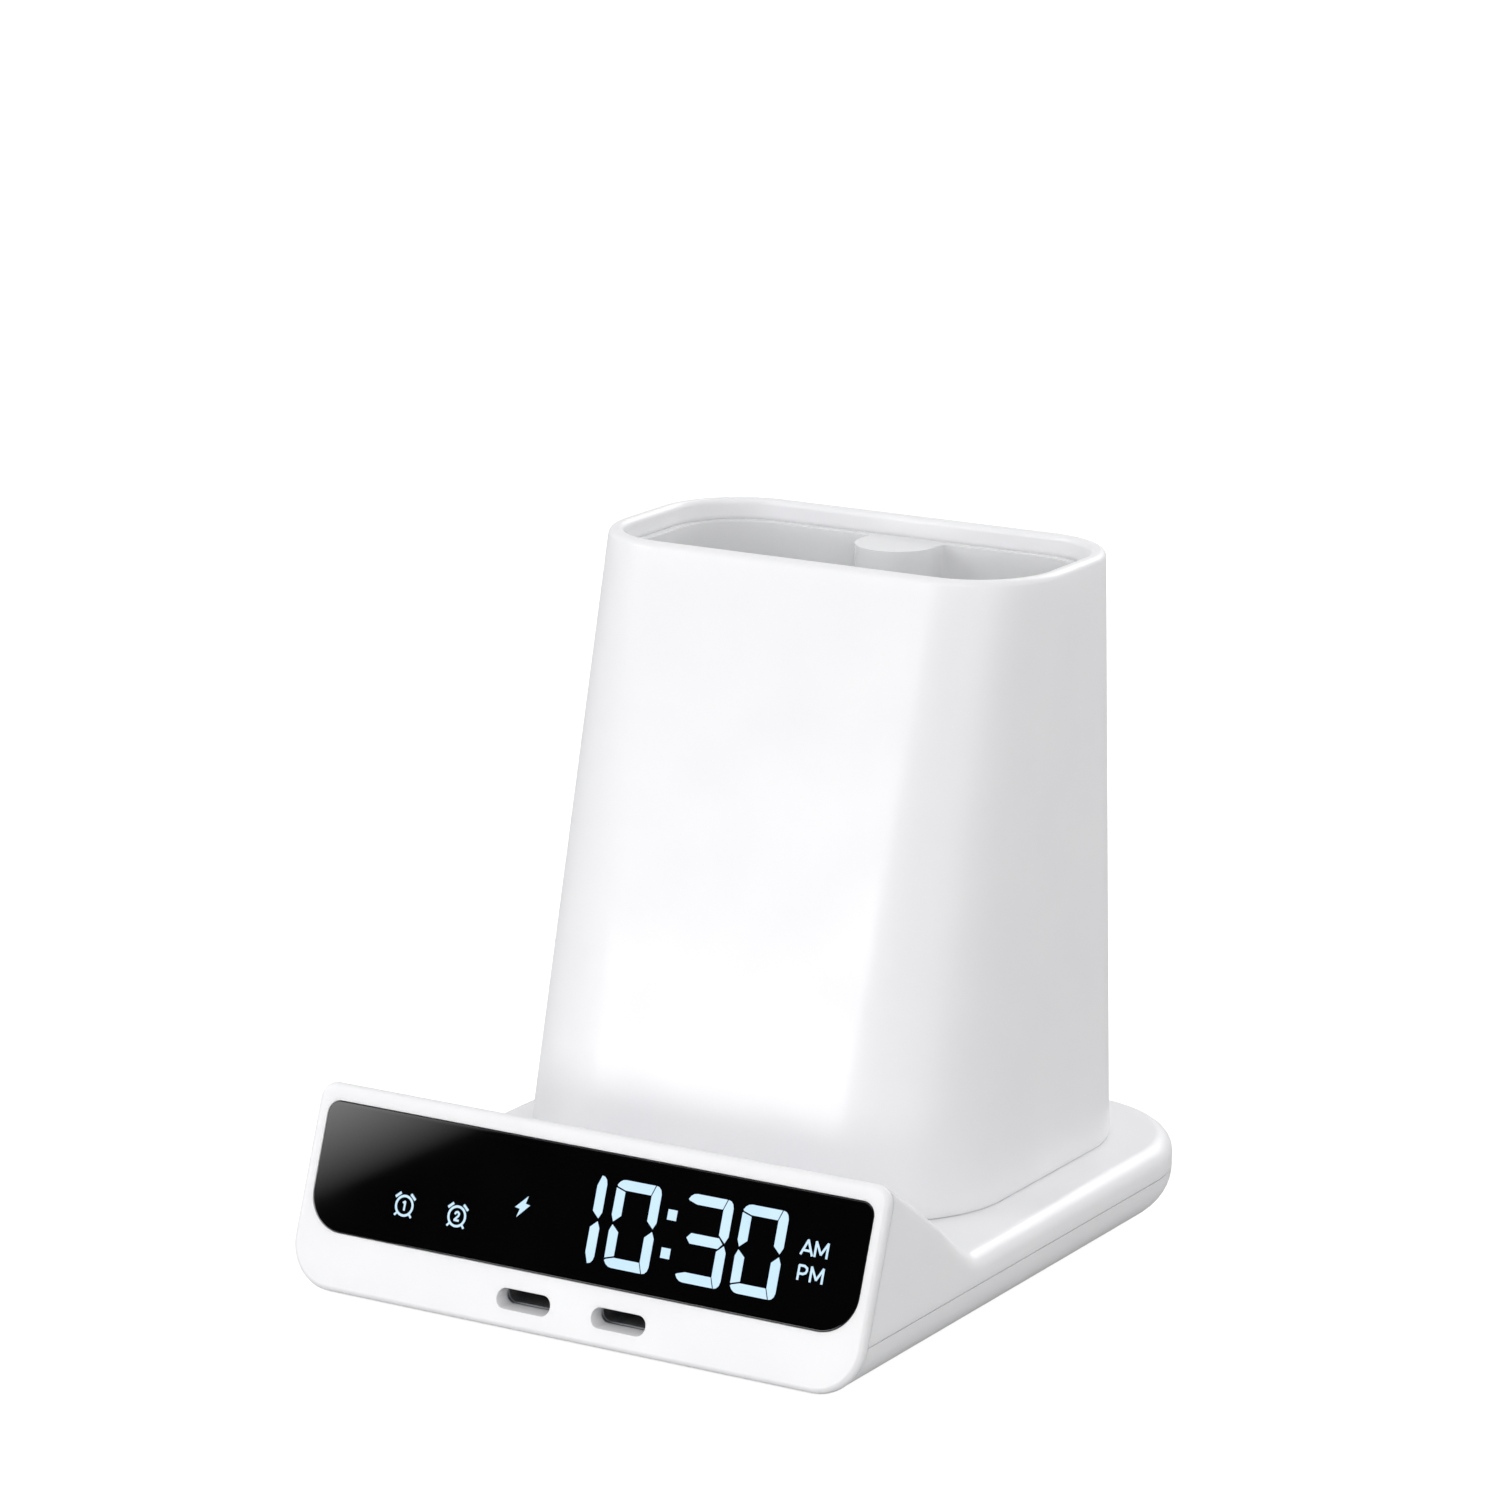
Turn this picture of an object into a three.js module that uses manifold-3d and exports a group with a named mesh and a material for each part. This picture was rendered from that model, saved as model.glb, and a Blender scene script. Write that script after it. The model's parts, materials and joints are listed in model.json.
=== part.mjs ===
// Pen cup with a leaning charging face, on a base that holds a clock display.
// Millimetres, +Z up. The front looks toward -Y and the part is laid out about X = 0.
// While it is laid out, Y = 0 is the front lower edge and Z = 0 the underside of the base.
import * as THREE from "three";
import { mergeVertices } from "three/addons/utils/BufferGeometryUtils.js";
import Module from "manifold-3d";

const wasm = await Module();
wasm.setup();

// Base
const baseWidth = 93;
const baseDepth = 108.5;
const baseBackRadius = 22;
const plateTop = 10.8;
const plateEdgeRadius = 2.4;
const seamHeight = 6.4;
const seamGap = 0.2;
const housingWall = 2;
const plateWall = 1.8;
const trayWall = 1.5;
const lipDepth = 1.5;
const lipWall = 0.9;
const slopeAngle = THREE.MathUtils.degToRad(34.6);
const slopeFoot = 33.6;
const valleyRadius = 4;
const wedgeEdgeRadius = 0.8;
const wedgeStep = 0.08;

// Front bezel and the window in it, measured up the face
const faceTilt = THREE.MathUtils.degToRad(20);
const bezelHeight = 29.1;
const bezelThickness = 2.6;
const bezelTopRadius = 2.6;
const bezelBottomRadius = 7;
const bezelEdgeRadius = 0.8;
const windowMargin = 1.9;
const windowWidth = baseWidth - 2 * windowMargin;
const windowHeight = 18.4;
const windowRise = 8.2;
const windowTopRadius = 2;
const windowBottomRadius = 5.6;
const windowThickness = 1.6;
const windowLedge = 1.5;
const tabWidth = 6;
const tabReach = 4;
const tabWall = 1.6;

// Digits and signs behind the window. Their places across it are shares of its width.
const digitWidthShare = 0.0813;
const digitWidth = windowWidth * digitWidthShare;
const digitHeight = 12.2;
const digitPitchShare = 0.09865;
const digitPitch = windowWidth * digitPitchShare;
const segmentWidth = 1.4;
const hoursShare = 0.0409;
const hoursPlace = windowWidth * hoursShare;
const minutesShare = 0.2685;
const minutesPlace = windowWidth * minutesShare;
const digitRise = 17.15;
const colonPitch = 5.3;
const alarmShare = -0.3274;
const alarmPlace = windowWidth * alarmShare;
const alarmPitchShare = 0.0998;
const alarmPitch = windowWidth * alarmPitchShare;
const alarmRise = 13.8;
const boltShare = -0.1121;
const boltPlace = windowWidth * boltShare;
const boltRise = 16.9;
const halfDayShare = 0.4114;
const halfDayPlace = windowWidth * halfDayShare;
const halfDayRise = 17.1;
const halfDayPitch = 3.45;
const signRadius = 1.3;
const maskDepth = 3;
const boardThickness = 1;
const ledLength = 1.6;
const ledWidth = 0.8;
const ledHeight = 0.5;

// USB-C inlets
const portPitch = 15.5;
const portMiddle = 0.65;
const portRise = 4.05;
const slotWidth = 8.6;
const slotHeight = 3.15;
const portWidth = 8.94;
const portHeight = 3.26;
const portLength = 7.35;
const portWall = 0.3;
const tongueWidth = 6.7;
const tongueHeight = 0.7;
const tongueLength = 5;

// Cup: foot, rim and walls
const cupSideMargin = 8.5;
const cupFootWidth = baseWidth - 2 * cupSideMargin;
const cupFrontMargin = 3.1;
const cupFootFront = slopeFoot + cupFrontMargin;
const cupBackMargin = 6;
const cupFootBack = baseDepth - cupBackMargin;
const cupFootRadius = 19;
const rimHeight = 98.2;
const rimSideStep = 1.6;
const rimWidth = cupFootWidth - 2 * rimSideStep;
const leanReach = 23.6;
const rimFront = cupFootFront + leanReach;
const rimBackStep = 4.9;
const rimBack = cupFootBack - rimBackStep;
const rimRadiusShare = 0.3646;
const rimRadius = (rimBack - rimFront) * rimRadiusShare;
const rimEdgeRadius = 0.9;
const cupWall = 2.3;

// Liner that the pens stand in
const linerDrop = 3;
const linerWall = 1.4;
const linerFloor = 1.6;
const linerDraft = 0.8;
const columnRadius = 6.2;
const columnReach = 6;

// Charging coil on the back of the leaning face
const coilRiseShare = 0.5137;
const coilRise = plateTop + (rimHeight - plateTop) * coilRiseShare;
const bracketWidthShare = 0.7105;
const bracketWidth = cupFootWidth * bracketWidthShare;
const coilRadiusShare = 0.3796;
const coilOuterRadius = bracketWidth * coilRadiusShare;
const wirePitch = 1.25;
const wireWidth = 0.85;
const coilBandShare = 0.55;
const coilTurns = Math.floor((coilOuterRadius * coilBandShare) / wirePitch);
const ferriteOverlap = 1.5;
const ferriteRadius = coilOuterRadius + ferriteOverlap;
const ferriteThickness = 1;
const bracketHeightShare = 0.5034;
const bracketHeight = (rimHeight - plateTop) * bracketHeightShare;
const bracketWall = 1.6;

// Buttons in the back wall
const buttonPitch = 14;
const buttonWidth = 8;
const buttonHeight = 2.2;
const buttonProud = 0.5;
const buttonTravel = 0.5;
const flangeWall = 1;
const switchWidth = 6;
const switchDepth = 3.5;
const switchHeight = 3.2;
const plungerWidth = 2.4;
const plungerHeight = 1.4;

// Boards, feet and screws
const boardSideMargin = 16;
const mainBoardWidth = baseWidth - 2 * boardSideMargin;
const mainBoardFront = 6.5;
const boardBackMargin = 7.5;
const mainBoardBack = baseDepth - boardBackMargin;
const footRadius = 5;
const footProud = 0.8;
const footSink = 0.7;
const screwRadius = 1;
const screwHeadRadius = 1.9;
const screwHeadHeight = 1.3;
const bossRadius = 3;
const postHeight = 12;
const buzzerRadius = 4.5;
const buzzerHeight = 3.8;
const chipSide = 6;
const chipHeight = 1;
const clockSide = 8;
const inductorSide = 7;
const inductorHeight = 3;
const ribbonRise = 14;
const ribbonReach = 5;
const ribbonWidth = 10;
const ribbonWall = 0.3;

// Fits
const fit = 0.15;
const slideFit = 0.25;
const layerGap = 0.2;
const tightRadius = 0.2;
const weld = 0.002;
const overrun = 5;
const arcSteps = 6;

const half = (size) => size / 2;
const halfBase = half(baseWidth);

// Turn a closed geometry into a solid that can be joined and cut
function solid(geometry) {
  const bare = new THREE.BufferGeometry();
  bare.setAttribute("position", geometry.getAttribute("position").clone());
  if (geometry.index) bare.setIndex(geometry.index.clone());
  const merged = mergeVertices(bare);
  const vertProperties = new Float32Array(merged.getAttribute("position").array);
  const triVerts = new Uint32Array(merged.index.array);
  return new wasm.Manifold(new wasm.Mesh({ numProp: 3, vertProperties, triVerts }));
}

function join(...bodies) {
  return bodies.reduce((whole, body) => whole.add(body));
}

function cut(body, ...tools) {
  return tools.reduce((rest, tool) => rest.subtract(tool), body);
}

function geometryOf(body) {
  const mesh = body.getMesh();
  const geometry = new THREE.BufferGeometry();
  geometry.setAttribute("position", new THREE.BufferAttribute(mesh.vertProperties, 3));
  geometry.setIndex(new THREE.BufferAttribute(mesh.triVerts, 1));
  const welded = mergeVertices(geometry, weld);
  const corners = welded.index.array;
  const kept = [];
  for (let at = 0; at < corners.length; at += 3) {
    const [a, b, c] = corners.slice(at, at + 3);
    if (a !== b && b !== c && c !== a) kept.push(a, b, c);
  }
  welded.setIndex(kept);
  return welded;
}

// A box given by its low and high corners
function block(low, high) {
  const size = high.map((value, axis) => value - low[axis]);
  const geometry = new THREE.BoxGeometry(...size);
  geometry.translate(...low.map((value, axis) => value + half(size[axis])));
  return geometry;
}

// An upright cylinder between two heights
function disc(radius, x, y, low, high, sides = 16) {
  const geometry = new THREE.CylinderGeometry(radius, radius, high - low, sides);
  geometry.rotateX(Math.PI / 2);
  return geometry.translate(x, y, half(low + high));
}

// A rounded outline: corner radii in the order front, back, as seen from above
function outline({ width, front, back, frontRadius, backRadius, steps = arcSteps }) {
  const corners = [
    [half(width) - frontRadius, front + frontRadius, frontRadius],
    [half(width) - backRadius, back - backRadius, backRadius],
    [backRadius - half(width), back - backRadius, backRadius],
    [frontRadius - half(width), front + frontRadius, frontRadius],
  ];
  return corners.flatMap(([x, y, radius], corner) =>
    Array.from({ length: steps + 1 }, (_, step) => {
      const angle = (corner - 1 + step / steps) * (Math.PI / 2);
      return [x + radius * Math.cos(angle), y + radius * Math.sin(angle)];
    }),
  );
}

function inset(plan, distance) {
  return {
    ...plan,
    width: plan.width - 2 * distance,
    front: plan.front + distance,
    back: plan.back - distance,
    frontRadius: Math.max(plan.frontRadius - distance, tightRadius),
    backRadius: Math.max(plan.backRadius - distance, tightRadius),
  };
}

// Skin over level outlines that have equal numbers of points, closed by flat ends
function loft(levels) {
  const rings = levels.map(({ plan, height }) => outline(plan).map(([x, y]) => [x, y, height]));
  const count = rings[0].length;
  const index = [];
  for (let ring = 0; ring + 1 < rings.length; ring += 1) {
    for (let point = 0; point < count; point += 1) {
      const a = ring * count + point;
      const b = ring * count + ((point + 1) % count);
      index.push(a, b, b + count, a, b + count, a + count);
    }
  }
  const last = (rings.length - 1) * count;
  for (let point = 1; point + 1 < count; point += 1) {
    index.push(0, point + 1, point);
    index.push(last, last + point, last + point + 1);
  }
  const geometry = new THREE.BufferGeometry();
  geometry.setAttribute("position", new THREE.Float32BufferAttribute(rings.flat(2), 3));
  geometry.setIndex(index);
  return geometry;
}

// Levels of an outline whose edge is rounded at the top or at the bottom
function roundedLevels(plan, low, high, { topRadius = 0, bottomRadius = 0, steps = 4 }) {
  const levels = [];
  for (let step = 0; step <= steps && bottomRadius > 0; step += 1) {
    const angle = (1 - step / steps) * (Math.PI / 2);
    const distance = bottomRadius * (1 - Math.cos(angle));
    levels.push({ plan: inset(plan, distance), height: low + bottomRadius * (1 - Math.sin(angle)) });
  }
  if (bottomRadius === 0) levels.push({ plan, height: low });
  for (let step = 0; step <= steps && topRadius > 0; step += 1) {
    const angle = (step / steps) * (Math.PI / 2);
    const distance = topRadius * (1 - Math.cos(angle));
    levels.push({ plan: inset(plan, distance), height: high - topRadius * (1 - Math.sin(angle)) });
  }
  if (topRadius === 0) levels.push({ plan, height: high });
  return levels.filter((level, at) => at === 0 || level.height > levels[at - 1].height);
}

// A shape with round ends, wider than it is tall
function obround(width, height) {
  const radius = half(height);
  const reach = half(width) - radius;
  const shape = new THREE.Shape();
  shape.absarc(reach, 0, radius, -Math.PI / 2, Math.PI / 2);
  shape.absarc(-reach, 0, radius, Math.PI / 2, (3 * Math.PI) / 2);
  return shape;
}

function extrude(shape, depth, settings = {}) {
  return new THREE.ExtrudeGeometry(shape, { depth, bevelEnabled: false, curveSegments: 8, ...settings });
}

// Extrude a shape drawn in X and Z along Y, from a near to a far place
function extrudeBack(shape, near, far) {
  return extrude(shape, far - near).rotateX(Math.PI / 2).translate(0, far, 0);
}

// Extrude a shape drawn in Y and Z across the part, centred on X = 0
function extrudeAcross(shape, width, settings = {}) {
  const geometry = extrude(shape, width, settings);
  const turn = new THREE.Matrix4().makeBasis(
    new THREE.Vector3(0, 1, 0),
    new THREE.Vector3(0, 0, 1),
    new THREE.Vector3(1, 0, 0),
  );
  return geometry.applyMatrix4(turn).translate(-half(width), 0, 0);
}

function polygon(points) {
  return new THREE.Shape(points.map(([x, y]) => new THREE.Vector2(x, y)));
}

// Materials
const material = (color, roughness, metalness = 0) =>
  new THREE.MeshStandardMaterial({ color, roughness, metalness });
const whiteShell = material(0xf1f2f4, 0.32);
const innerWhite = material(0xe6e7e9, 0.45);
const blackGloss = material(0x05070a, 0.08);
const maskBlack = material(0x17181a, 0.6);
const boardGreen = material(0x1d5a3a, 0.5);
const steel = material(0xb4b7bb, 0.3, 1);
const portSteel = material(0x6f7378, 0.35, 1);
const copper = material(0xb5652e, 0.4, 1);
const ferrite = material(0x35373a, 0.7);
const rubberGrey = material(0x9a9da0, 0.85);
const blackPlastic = material(0x1b1c1e, 0.5);
const flexAmber = material(0xb9792a, 0.5);

const part = new THREE.Group();

// Frames that lie in the front face and in the leaning face of the cup. Both have X across,
// Y up the face and Z out of it.
const leanAngle = Math.atan((rimFront - cupFootFront) / (rimHeight - plateTop));
const faceFrame = new THREE.Group();
faceFrame.rotation.x = Math.PI / 2 - faceTilt;
const coilFrame = new THREE.Group();
coilFrame.position.set(0, cupFootFront + (coilRise - plateTop) * Math.tan(leanAngle), coilRise);
coilFrame.rotation.x = Math.PI / 2 - leanAngle;
part.add(faceFrame, coilFrame);
part.updateMatrixWorld(true);

function add(parent, name, geometry, look) {
  const mesh = new THREE.Mesh(geometry, look);
  mesh.name = name;
  parent.add(mesh);
  return mesh;
}

// Place a solid that is drawn in a face frame among the upright ones
function fromFrame(frame, geometry) {
  return geometry.clone().applyMatrix4(frame.matrix);
}

// Outlines that pieces share
const bodyPlan = {
  width: baseWidth,
  front: -overrun,
  back: baseDepth,
  frontRadius: overrun,
  backRadius: baseBackRadius,
};
const facePlan = {
  width: baseWidth,
  front: 0,
  back: bezelHeight,
  frontRadius: bezelBottomRadius,
  backRadius: bezelTopRadius,
};
const windowPlan = {
  width: windowWidth,
  front: windowRise,
  back: windowRise + windowHeight,
  frontRadius: windowBottomRadius,
  backRadius: windowTopRadius,
  steps: 4,
};
const footPlan = {
  width: cupFootWidth,
  front: cupFootFront,
  back: cupFootBack,
  frontRadius: cupFootRadius,
  backRadius: cupFootRadius,
};
const rimPlan = {
  width: rimWidth,
  front: rimFront,
  back: rimBack,
  frontRadius: rimRadius,
  backRadius: rimRadius,
};

// The cup's outline at a height between foot and rim, or on beyond them
function cupPlan(height, distance = 0) {
  const share = (height - plateTop) / (rimHeight - plateTop);
  const plan = {};
  for (const key of Object.keys(footPlan)) {
    plan[key] = footPlan[key] + (rimPlan[key] - footPlan[key]) * share;
  }
  return inset(plan, distance);
}

// Everything in front of the plane that the housing and tray end at
const frontCut = solid(
  fromFrame(
    faceFrame,
    block(
      [-baseWidth, -baseDepth, -bezelThickness - fit],
      [baseWidth, baseDepth, baseDepth],
    ),
  ),
);

// Places of the screws and posts
const ceiling = plateTop - plateWall;
const portHeightUp = portRise * Math.cos(faceTilt);
const boardLow = portHeightUp - half(boardThickness);
const boardTop = boardLow + boardThickness;
const housingScrews = [
  [half(mainBoardWidth) + bossRadius + 2 * screwRadius, slopeFoot - bossRadius],
  [half(mainBoardWidth) + bossRadius + screwRadius, baseDepth - baseBackRadius - footRadius - bossRadius],
].flatMap(([x, y]) => [[-x, y], [x, y]]);
const frontPost = [
  half(cupFootWidth) - cupWall - bossRadius,
  cupFootFront + cupFootRadius - bossRadius,
];
const backPost = [0, cupFootBack - cupWall - bossRadius - linerWall];
const cupPosts = [[-frontPost[0], frontPost[1]], frontPost, backPost];
const feet = [bezelThickness + 2 * footRadius, baseDepth - baseBackRadius + footRadius].flatMap((y) => [
  [footRadius + 2 * bossRadius - halfBase + half(footRadius), y],
  [halfBase - footRadius - 2 * bossRadius - half(footRadius), y],
]);

// Bezel: a plate with rounded edges, a stepped window opening, two inlet slots and two tabs
function bezelGeometry() {
  const plate = loft(
    roundedLevels(facePlan, -bezelThickness, 0, {
      topRadius: bezelEdgeRadius,
      bottomRadius: half(bezelEdgeRadius),
    }),
  );
  const pocket = loft([
    { plan: windowPlan, height: -windowThickness - half(layerGap) },
    { plan: windowPlan, height: overrun },
  ]);
  const opening = loft([
    { plan: inset(windowPlan, windowLedge), height: -bezelThickness - overrun },
    { plan: inset(windowPlan, windowLedge), height: overrun },
  ]);
  const tabs = [-1, 1].map((side) => {
    const middle = side * (halfBase - housingWall - tabWidth);
    const high = windowRise - windowLedge + fit;
    return solid(
      block(
        [middle - half(tabWidth), high - tabWall, -bezelThickness - tabReach],
        [middle + half(tabWidth), high, -half(bezelThickness)],
      ),
    );
  });
  const slots = portPlaces().map((x) => {
    const slot = extrudeBack(obround(slotWidth, slotHeight), -overrun, 2 * overrun);
    return solid(slot.translate(x, 0, portHeightUp).applyMatrix4(faceFrame.matrix.clone().invert()));
  });
  return geometryOf(cut(join(solid(plate), ...tabs), solid(pocket), solid(opening), ...slots));
}

function portPlaces() {
  return [portMiddle - half(portPitch), portMiddle + half(portPitch)];
}
add(faceFrame, "front_bezel", bezelGeometry(), whiteShell);

// Display window: a flush lens in the bezel's opening
const lensPlan = inset(windowPlan, fit);
add(
  faceFrame,
  "display_window",
  loft(roundedLevels(lensPlan, -windowThickness, 0, { topRadius: half(fit), steps: 1 })),
  blackGloss,
);

// The bars of one digit, as their middle, length direction and whether each is upright
function digitBars(x) {
  const side = half(digitWidth - segmentWidth);
  const end = half(digitHeight - segmentWidth);
  const upright = [-side, side].flatMap((across) =>
    [-1, 1].map((way) => ({ x: x + across, y: digitRise + half(end) * way, upright: true })),
  );
  const level = [-1, 0, 1].map((way) => ({ x, y: digitRise + end * way, upright: false }));
  return [...upright, ...level];
}
const bars = [hoursPlace, minutesPlace].flatMap((middle) =>
  [-1, 1].flatMap((way) => digitBars(middle + half(digitPitch) * way)),
);
const colonPlace = half(hoursPlace + minutesPlace);
const signs = [
  [colonPlace, digitRise - half(colonPitch)],
  [colonPlace, digitRise + half(colonPitch)],
  [alarmPlace, alarmRise],
  [alarmPlace + alarmPitch, alarmRise],
  [boltPlace, boltRise],
  [halfDayPlace, halfDayRise - half(halfDayPitch)],
  [halfDayPlace, halfDayRise + half(halfDayPitch)],
];

// A well with pointed ends for one bar of a digit
function barWell({ x, y, upright }) {
  const run = upright ? half(digitHeight - segmentWidth) : digitWidth - segmentWidth;
  const reach = half(run) - half(layerGap);
  const side = half(segmentWidth) - half(layerGap);
  const points = [
    [reach, 0], [reach - side, side], [side - reach, side],
    [-reach, 0], [side - reach, -side], [reach - side, -side],
  ];
  const shape = polygon(upright ? points.map(([a, b]) => [-b, a]) : points);
  return extrude(shape, maskDepth + 2 * overrun).translate(x, y, -maskDepth - 2 * overrun);
}

// Light mask: a black block behind the window with one well for each bar and sign
const maskFront = -windowThickness - layerGap;
const maskBack = maskFront - maskDepth;
const maskPlan = inset(windowPlan, windowLedge + slideFit);
function maskGeometry() {
  const flangePlan = { ...maskPlan, front: windowRise - half(windowLedge) };
  const flangeFront = -bezelThickness - layerGap;
  const flange = loft([
    { plan: flangePlan, height: flangeFront - half(maskDepth) },
    { plan: flangePlan, height: flangeFront },
  ]);
  const core = loft([
    { plan: maskPlan, height: maskBack },
    { plan: maskPlan, height: maskFront },
  ]);
  const wells = bars.map((bar) => solid(barWell(bar)));
  const signWells = signs.map(([x, y]) =>
    solid(disc(signRadius, x, y, maskBack - overrun, overrun, 8)),
  );
  return geometryOf(cut(join(solid(flange), solid(core)), ...wells, ...signWells));
}
add(faceFrame, "light_mask", maskGeometry(), maskBlack);

// LED board: the bare board with one lamp under each well
const ledBoardTop = maskBack - layerGap;
const ledPlan = inset(windowPlan, bezelEdgeRadius + housingWall);
function ledBoardGeometry() {
  const board = loft([
    { plan: ledPlan, height: ledBoardTop - boardThickness },
    { plan: ledPlan, height: ledBoardTop },
  ]);
  const lamp = (x, y, upright) => {
    const across = half(upright ? ledWidth : ledLength);
    const up = half(upright ? ledLength : ledWidth);
    const low = ledBoardTop - half(boardThickness);
    return solid(block([x - across, y - up, low], [x + across, y + up, ledBoardTop + ledHeight]));
  };
  const lamps = bars.map((bar) => lamp(bar.x, bar.y, bar.upright));
  const signLamps = signs.map(([x, y]) => lamp(x, y, false));
  return geometryOf(join(solid(board), ...lamps, ...signLamps));
}
add(faceFrame, "led_board", ledBoardGeometry(), boardGreen);

// Top housing: the wedge behind the bezel, the plate under the cup and the walls of both
function wedgeShape(offset, floor) {
  const run = Math.tan(slopeAngle);
  const lift = offset / Math.cos(slopeAngle);
  const foot = slopeFoot - lift / run;
  const front = -overrun;
  const tangent = valleyRadius * Math.tan(half(slopeAngle));
  const shape = new THREE.Shape();
  shape.moveTo(front, floor);
  shape.lineTo(offset > 0 ? foot + (plateTop - floor) / run : foot + tangent, floor);
  if (offset === 0) {
    shape.lineTo(foot + tangent, plateTop);
    shape.absarc(
      foot + tangent,
      plateTop + valleyRadius,
      valleyRadius,
      -Math.PI / 2,
      -Math.PI / 2 - slopeAngle,
      true,
    );
  }
  shape.lineTo(front, plateTop + (foot - front) * run);
  return shape;
}

function housingGeometry() {
  const low = seamHeight + half(seamGap);
  const plate = loft(roundedLevels(bodyPlan, low, plateTop, { topRadius: plateEdgeRadius }));
  const wedge = extrudeAcross(
    wedgeShape(0, low + wedgeEdgeRadius),
    baseWidth - 2 * (wedgeEdgeRadius + wedgeStep),
    {
      bevelEnabled: true,
      bevelThickness: wedgeEdgeRadius,
      bevelSize: wedgeEdgeRadius,
      bevelOffset: -wedgeEdgeRadius,
      bevelSegments: 3,
    },
  );
  const plateHollow = loft([
    { plan: inset(bodyPlan, housingWall), height: low - overrun },
    { plan: inset(bodyPlan, housingWall), height: ceiling },
  ]);
  const wedgeHollow = extrudeAcross(wedgeShape(housingWall, low), baseWidth - 2 * housingWall);
  const lipPlan = inset(bodyPlan, trayWall + 2 * fit);
  const lip = cut(
    solid(loft([{ plan: lipPlan, height: low - lipDepth }, { plan: lipPlan, height: low + lipWall }])),
    solid(
      loft([
        { plan: inset(lipPlan, lipWall), height: low - overrun },
        { plan: inset(lipPlan, lipWall), height: low + overrun },
      ]),
    ),
    solid(block(
      [-halfBase, -baseDepth, low - overrun],
      [halfBase, slopeFoot, low + overrun],
    )),
  );
  const outer = join(solid(plate), solid(wedge));
  const bosses = housingScrews.map(([x, y]) =>
    join(
      solid(disc(bossRadius, x, y, screwSeat + slideFit, ceiling)),
      solid(disc(bossRadius, x, y, low, 2 * plateTop)).intersect(outer),
    ),
  );
  const pilots = housingScrews.map(([x, y]) =>
    solid(disc(screwRadius + fit, x, y, 0, ceiling)),
  );
  const postHoles = cupPosts.map(([x, y]) =>
    solid(disc(screwRadius + fit, x, y, ceiling - overrun, plateTop + overrun)),
  );
  const wireSlot = solid(
    extrude(obround(4 * bossRadius, bossRadius), overrun)
      .translate(0, cupFootFront + cupFootRadius, half(ceiling + plateTop) - half(overrun)),
  );
  const buttonSlots = buttonPlaces().map((x) =>
    solid(
      block(
        [x - half(buttonWidth) - slideFit, baseDepth - housingWall - half(bossRadius), 0],
        [x + half(buttonWidth) + slideFit, baseDepth + overrun, buttonTop + slideFit],
      ),
    ),
  );
  const flangeRooms = buttonPlaces().flatMap((x) => {
    const reach = half(buttonWidth) + lipWall + slideFit;
    const near = baseDepth - 2 * housingWall - bossRadius;
    return [
      solid(block([x - reach, near, 0], [x + reach, baseDepth - housingWall, buttonTop + slideFit])),
      solid(block([x - reach, near, 0], [x + reach, baseDepth, low])),
    ];
  });
  const shell = cut(outer, solid(plateHollow), solid(wedgeHollow));
  return geometryOf(
    cut(join(shell, lip, ...bosses), ...pilots, ...postHoles, wireSlot, ...flangeRooms, ...buttonSlots,
      frontCut),
  );
}

// Buttons: their places along the back wall and their height
const buttonLow = seamHeight + half(seamGap) + fit;
const buttonTop = buttonLow + buttonHeight;
function buttonPlaces() {
  return [-buttonPitch, 0, buttonPitch];
}

// Depth of the screw heads' pockets in the tray
const screwSeat = trayWall + screwHeadHeight;
add(part, "top_housing", housingGeometry(), whiteShell);

// Bottom tray: rounded lower edge, screw bosses, board rests and foot pockets
function trayGeometry() {
  const high = seamHeight - half(seamGap);
  const outer = loft(roundedLevels(bodyPlan, 0, seamHeight, { bottomRadius: seamHeight, steps: 6 }));
  const hollow = loft([
    ...roundedLevels(inset(bodyPlan, trayWall), trayWall, seamHeight, {
      bottomRadius: seamHeight - trayWall,
    }),
    { plan: inset(bodyPlan, trayWall), height: seamHeight + overrun },
  ]);
  const bosses = housingScrews.map(([x, y]) =>
    solid(disc(bossRadius + half(trayWall), x, y, half(trayWall), screwSeat)),
  );
  const pockets = housingScrews.map(([x, y]) =>
    solid(disc(screwHeadRadius + slideFit, x, y, -overrun, screwHeadHeight + fit)),
  );
  const holes = housingScrews.map(([x, y]) =>
    solid(disc(screwRadius + fit, x, y, -overrun, screwSeat + overrun)),
  );
  const rests = boardScrews.map(([x, y]) =>
    solid(disc(bossRadius, x, y, half(trayWall), boardLow)),
  );
  const restPilots = boardScrews.map(([x, y]) =>
    solid(disc(screwRadius + fit, x, y, trayWall, boardLow + overrun)),
  );
  const footPockets = feet.map(([x, y]) =>
    solid(disc(footRadius + fit, x, y, -overrun, footSink)),
  );
  const trim = solid(block([-baseWidth, -baseDepth, high], [baseWidth, 2 * baseDepth, plateTop]));
  return geometryOf(
    cut(
      join(cut(solid(outer), solid(hollow)), ...bosses, ...rests),
      ...pockets, ...holes, ...restPilots, ...footPockets, trim, frontCut,
    ),
  );
}
const boardScrews = [
  [-half(mainBoardWidth) + bossRadius + fit, mainBoardFront + 2 * bossRadius + footRadius],
  [half(mainBoardWidth) - bossRadius - fit, mainBoardFront + 2 * bossRadius + footRadius],
  [half(mainBoardWidth) - bossRadius - fit, mainBoardBack - 2 * bossRadius - footRadius],
  [-half(mainBoardWidth) + bossRadius + fit, mainBoardBack - 2 * bossRadius - footRadius],
];
add(part, "bottom_tray", trayGeometry(), whiteShell);

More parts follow.
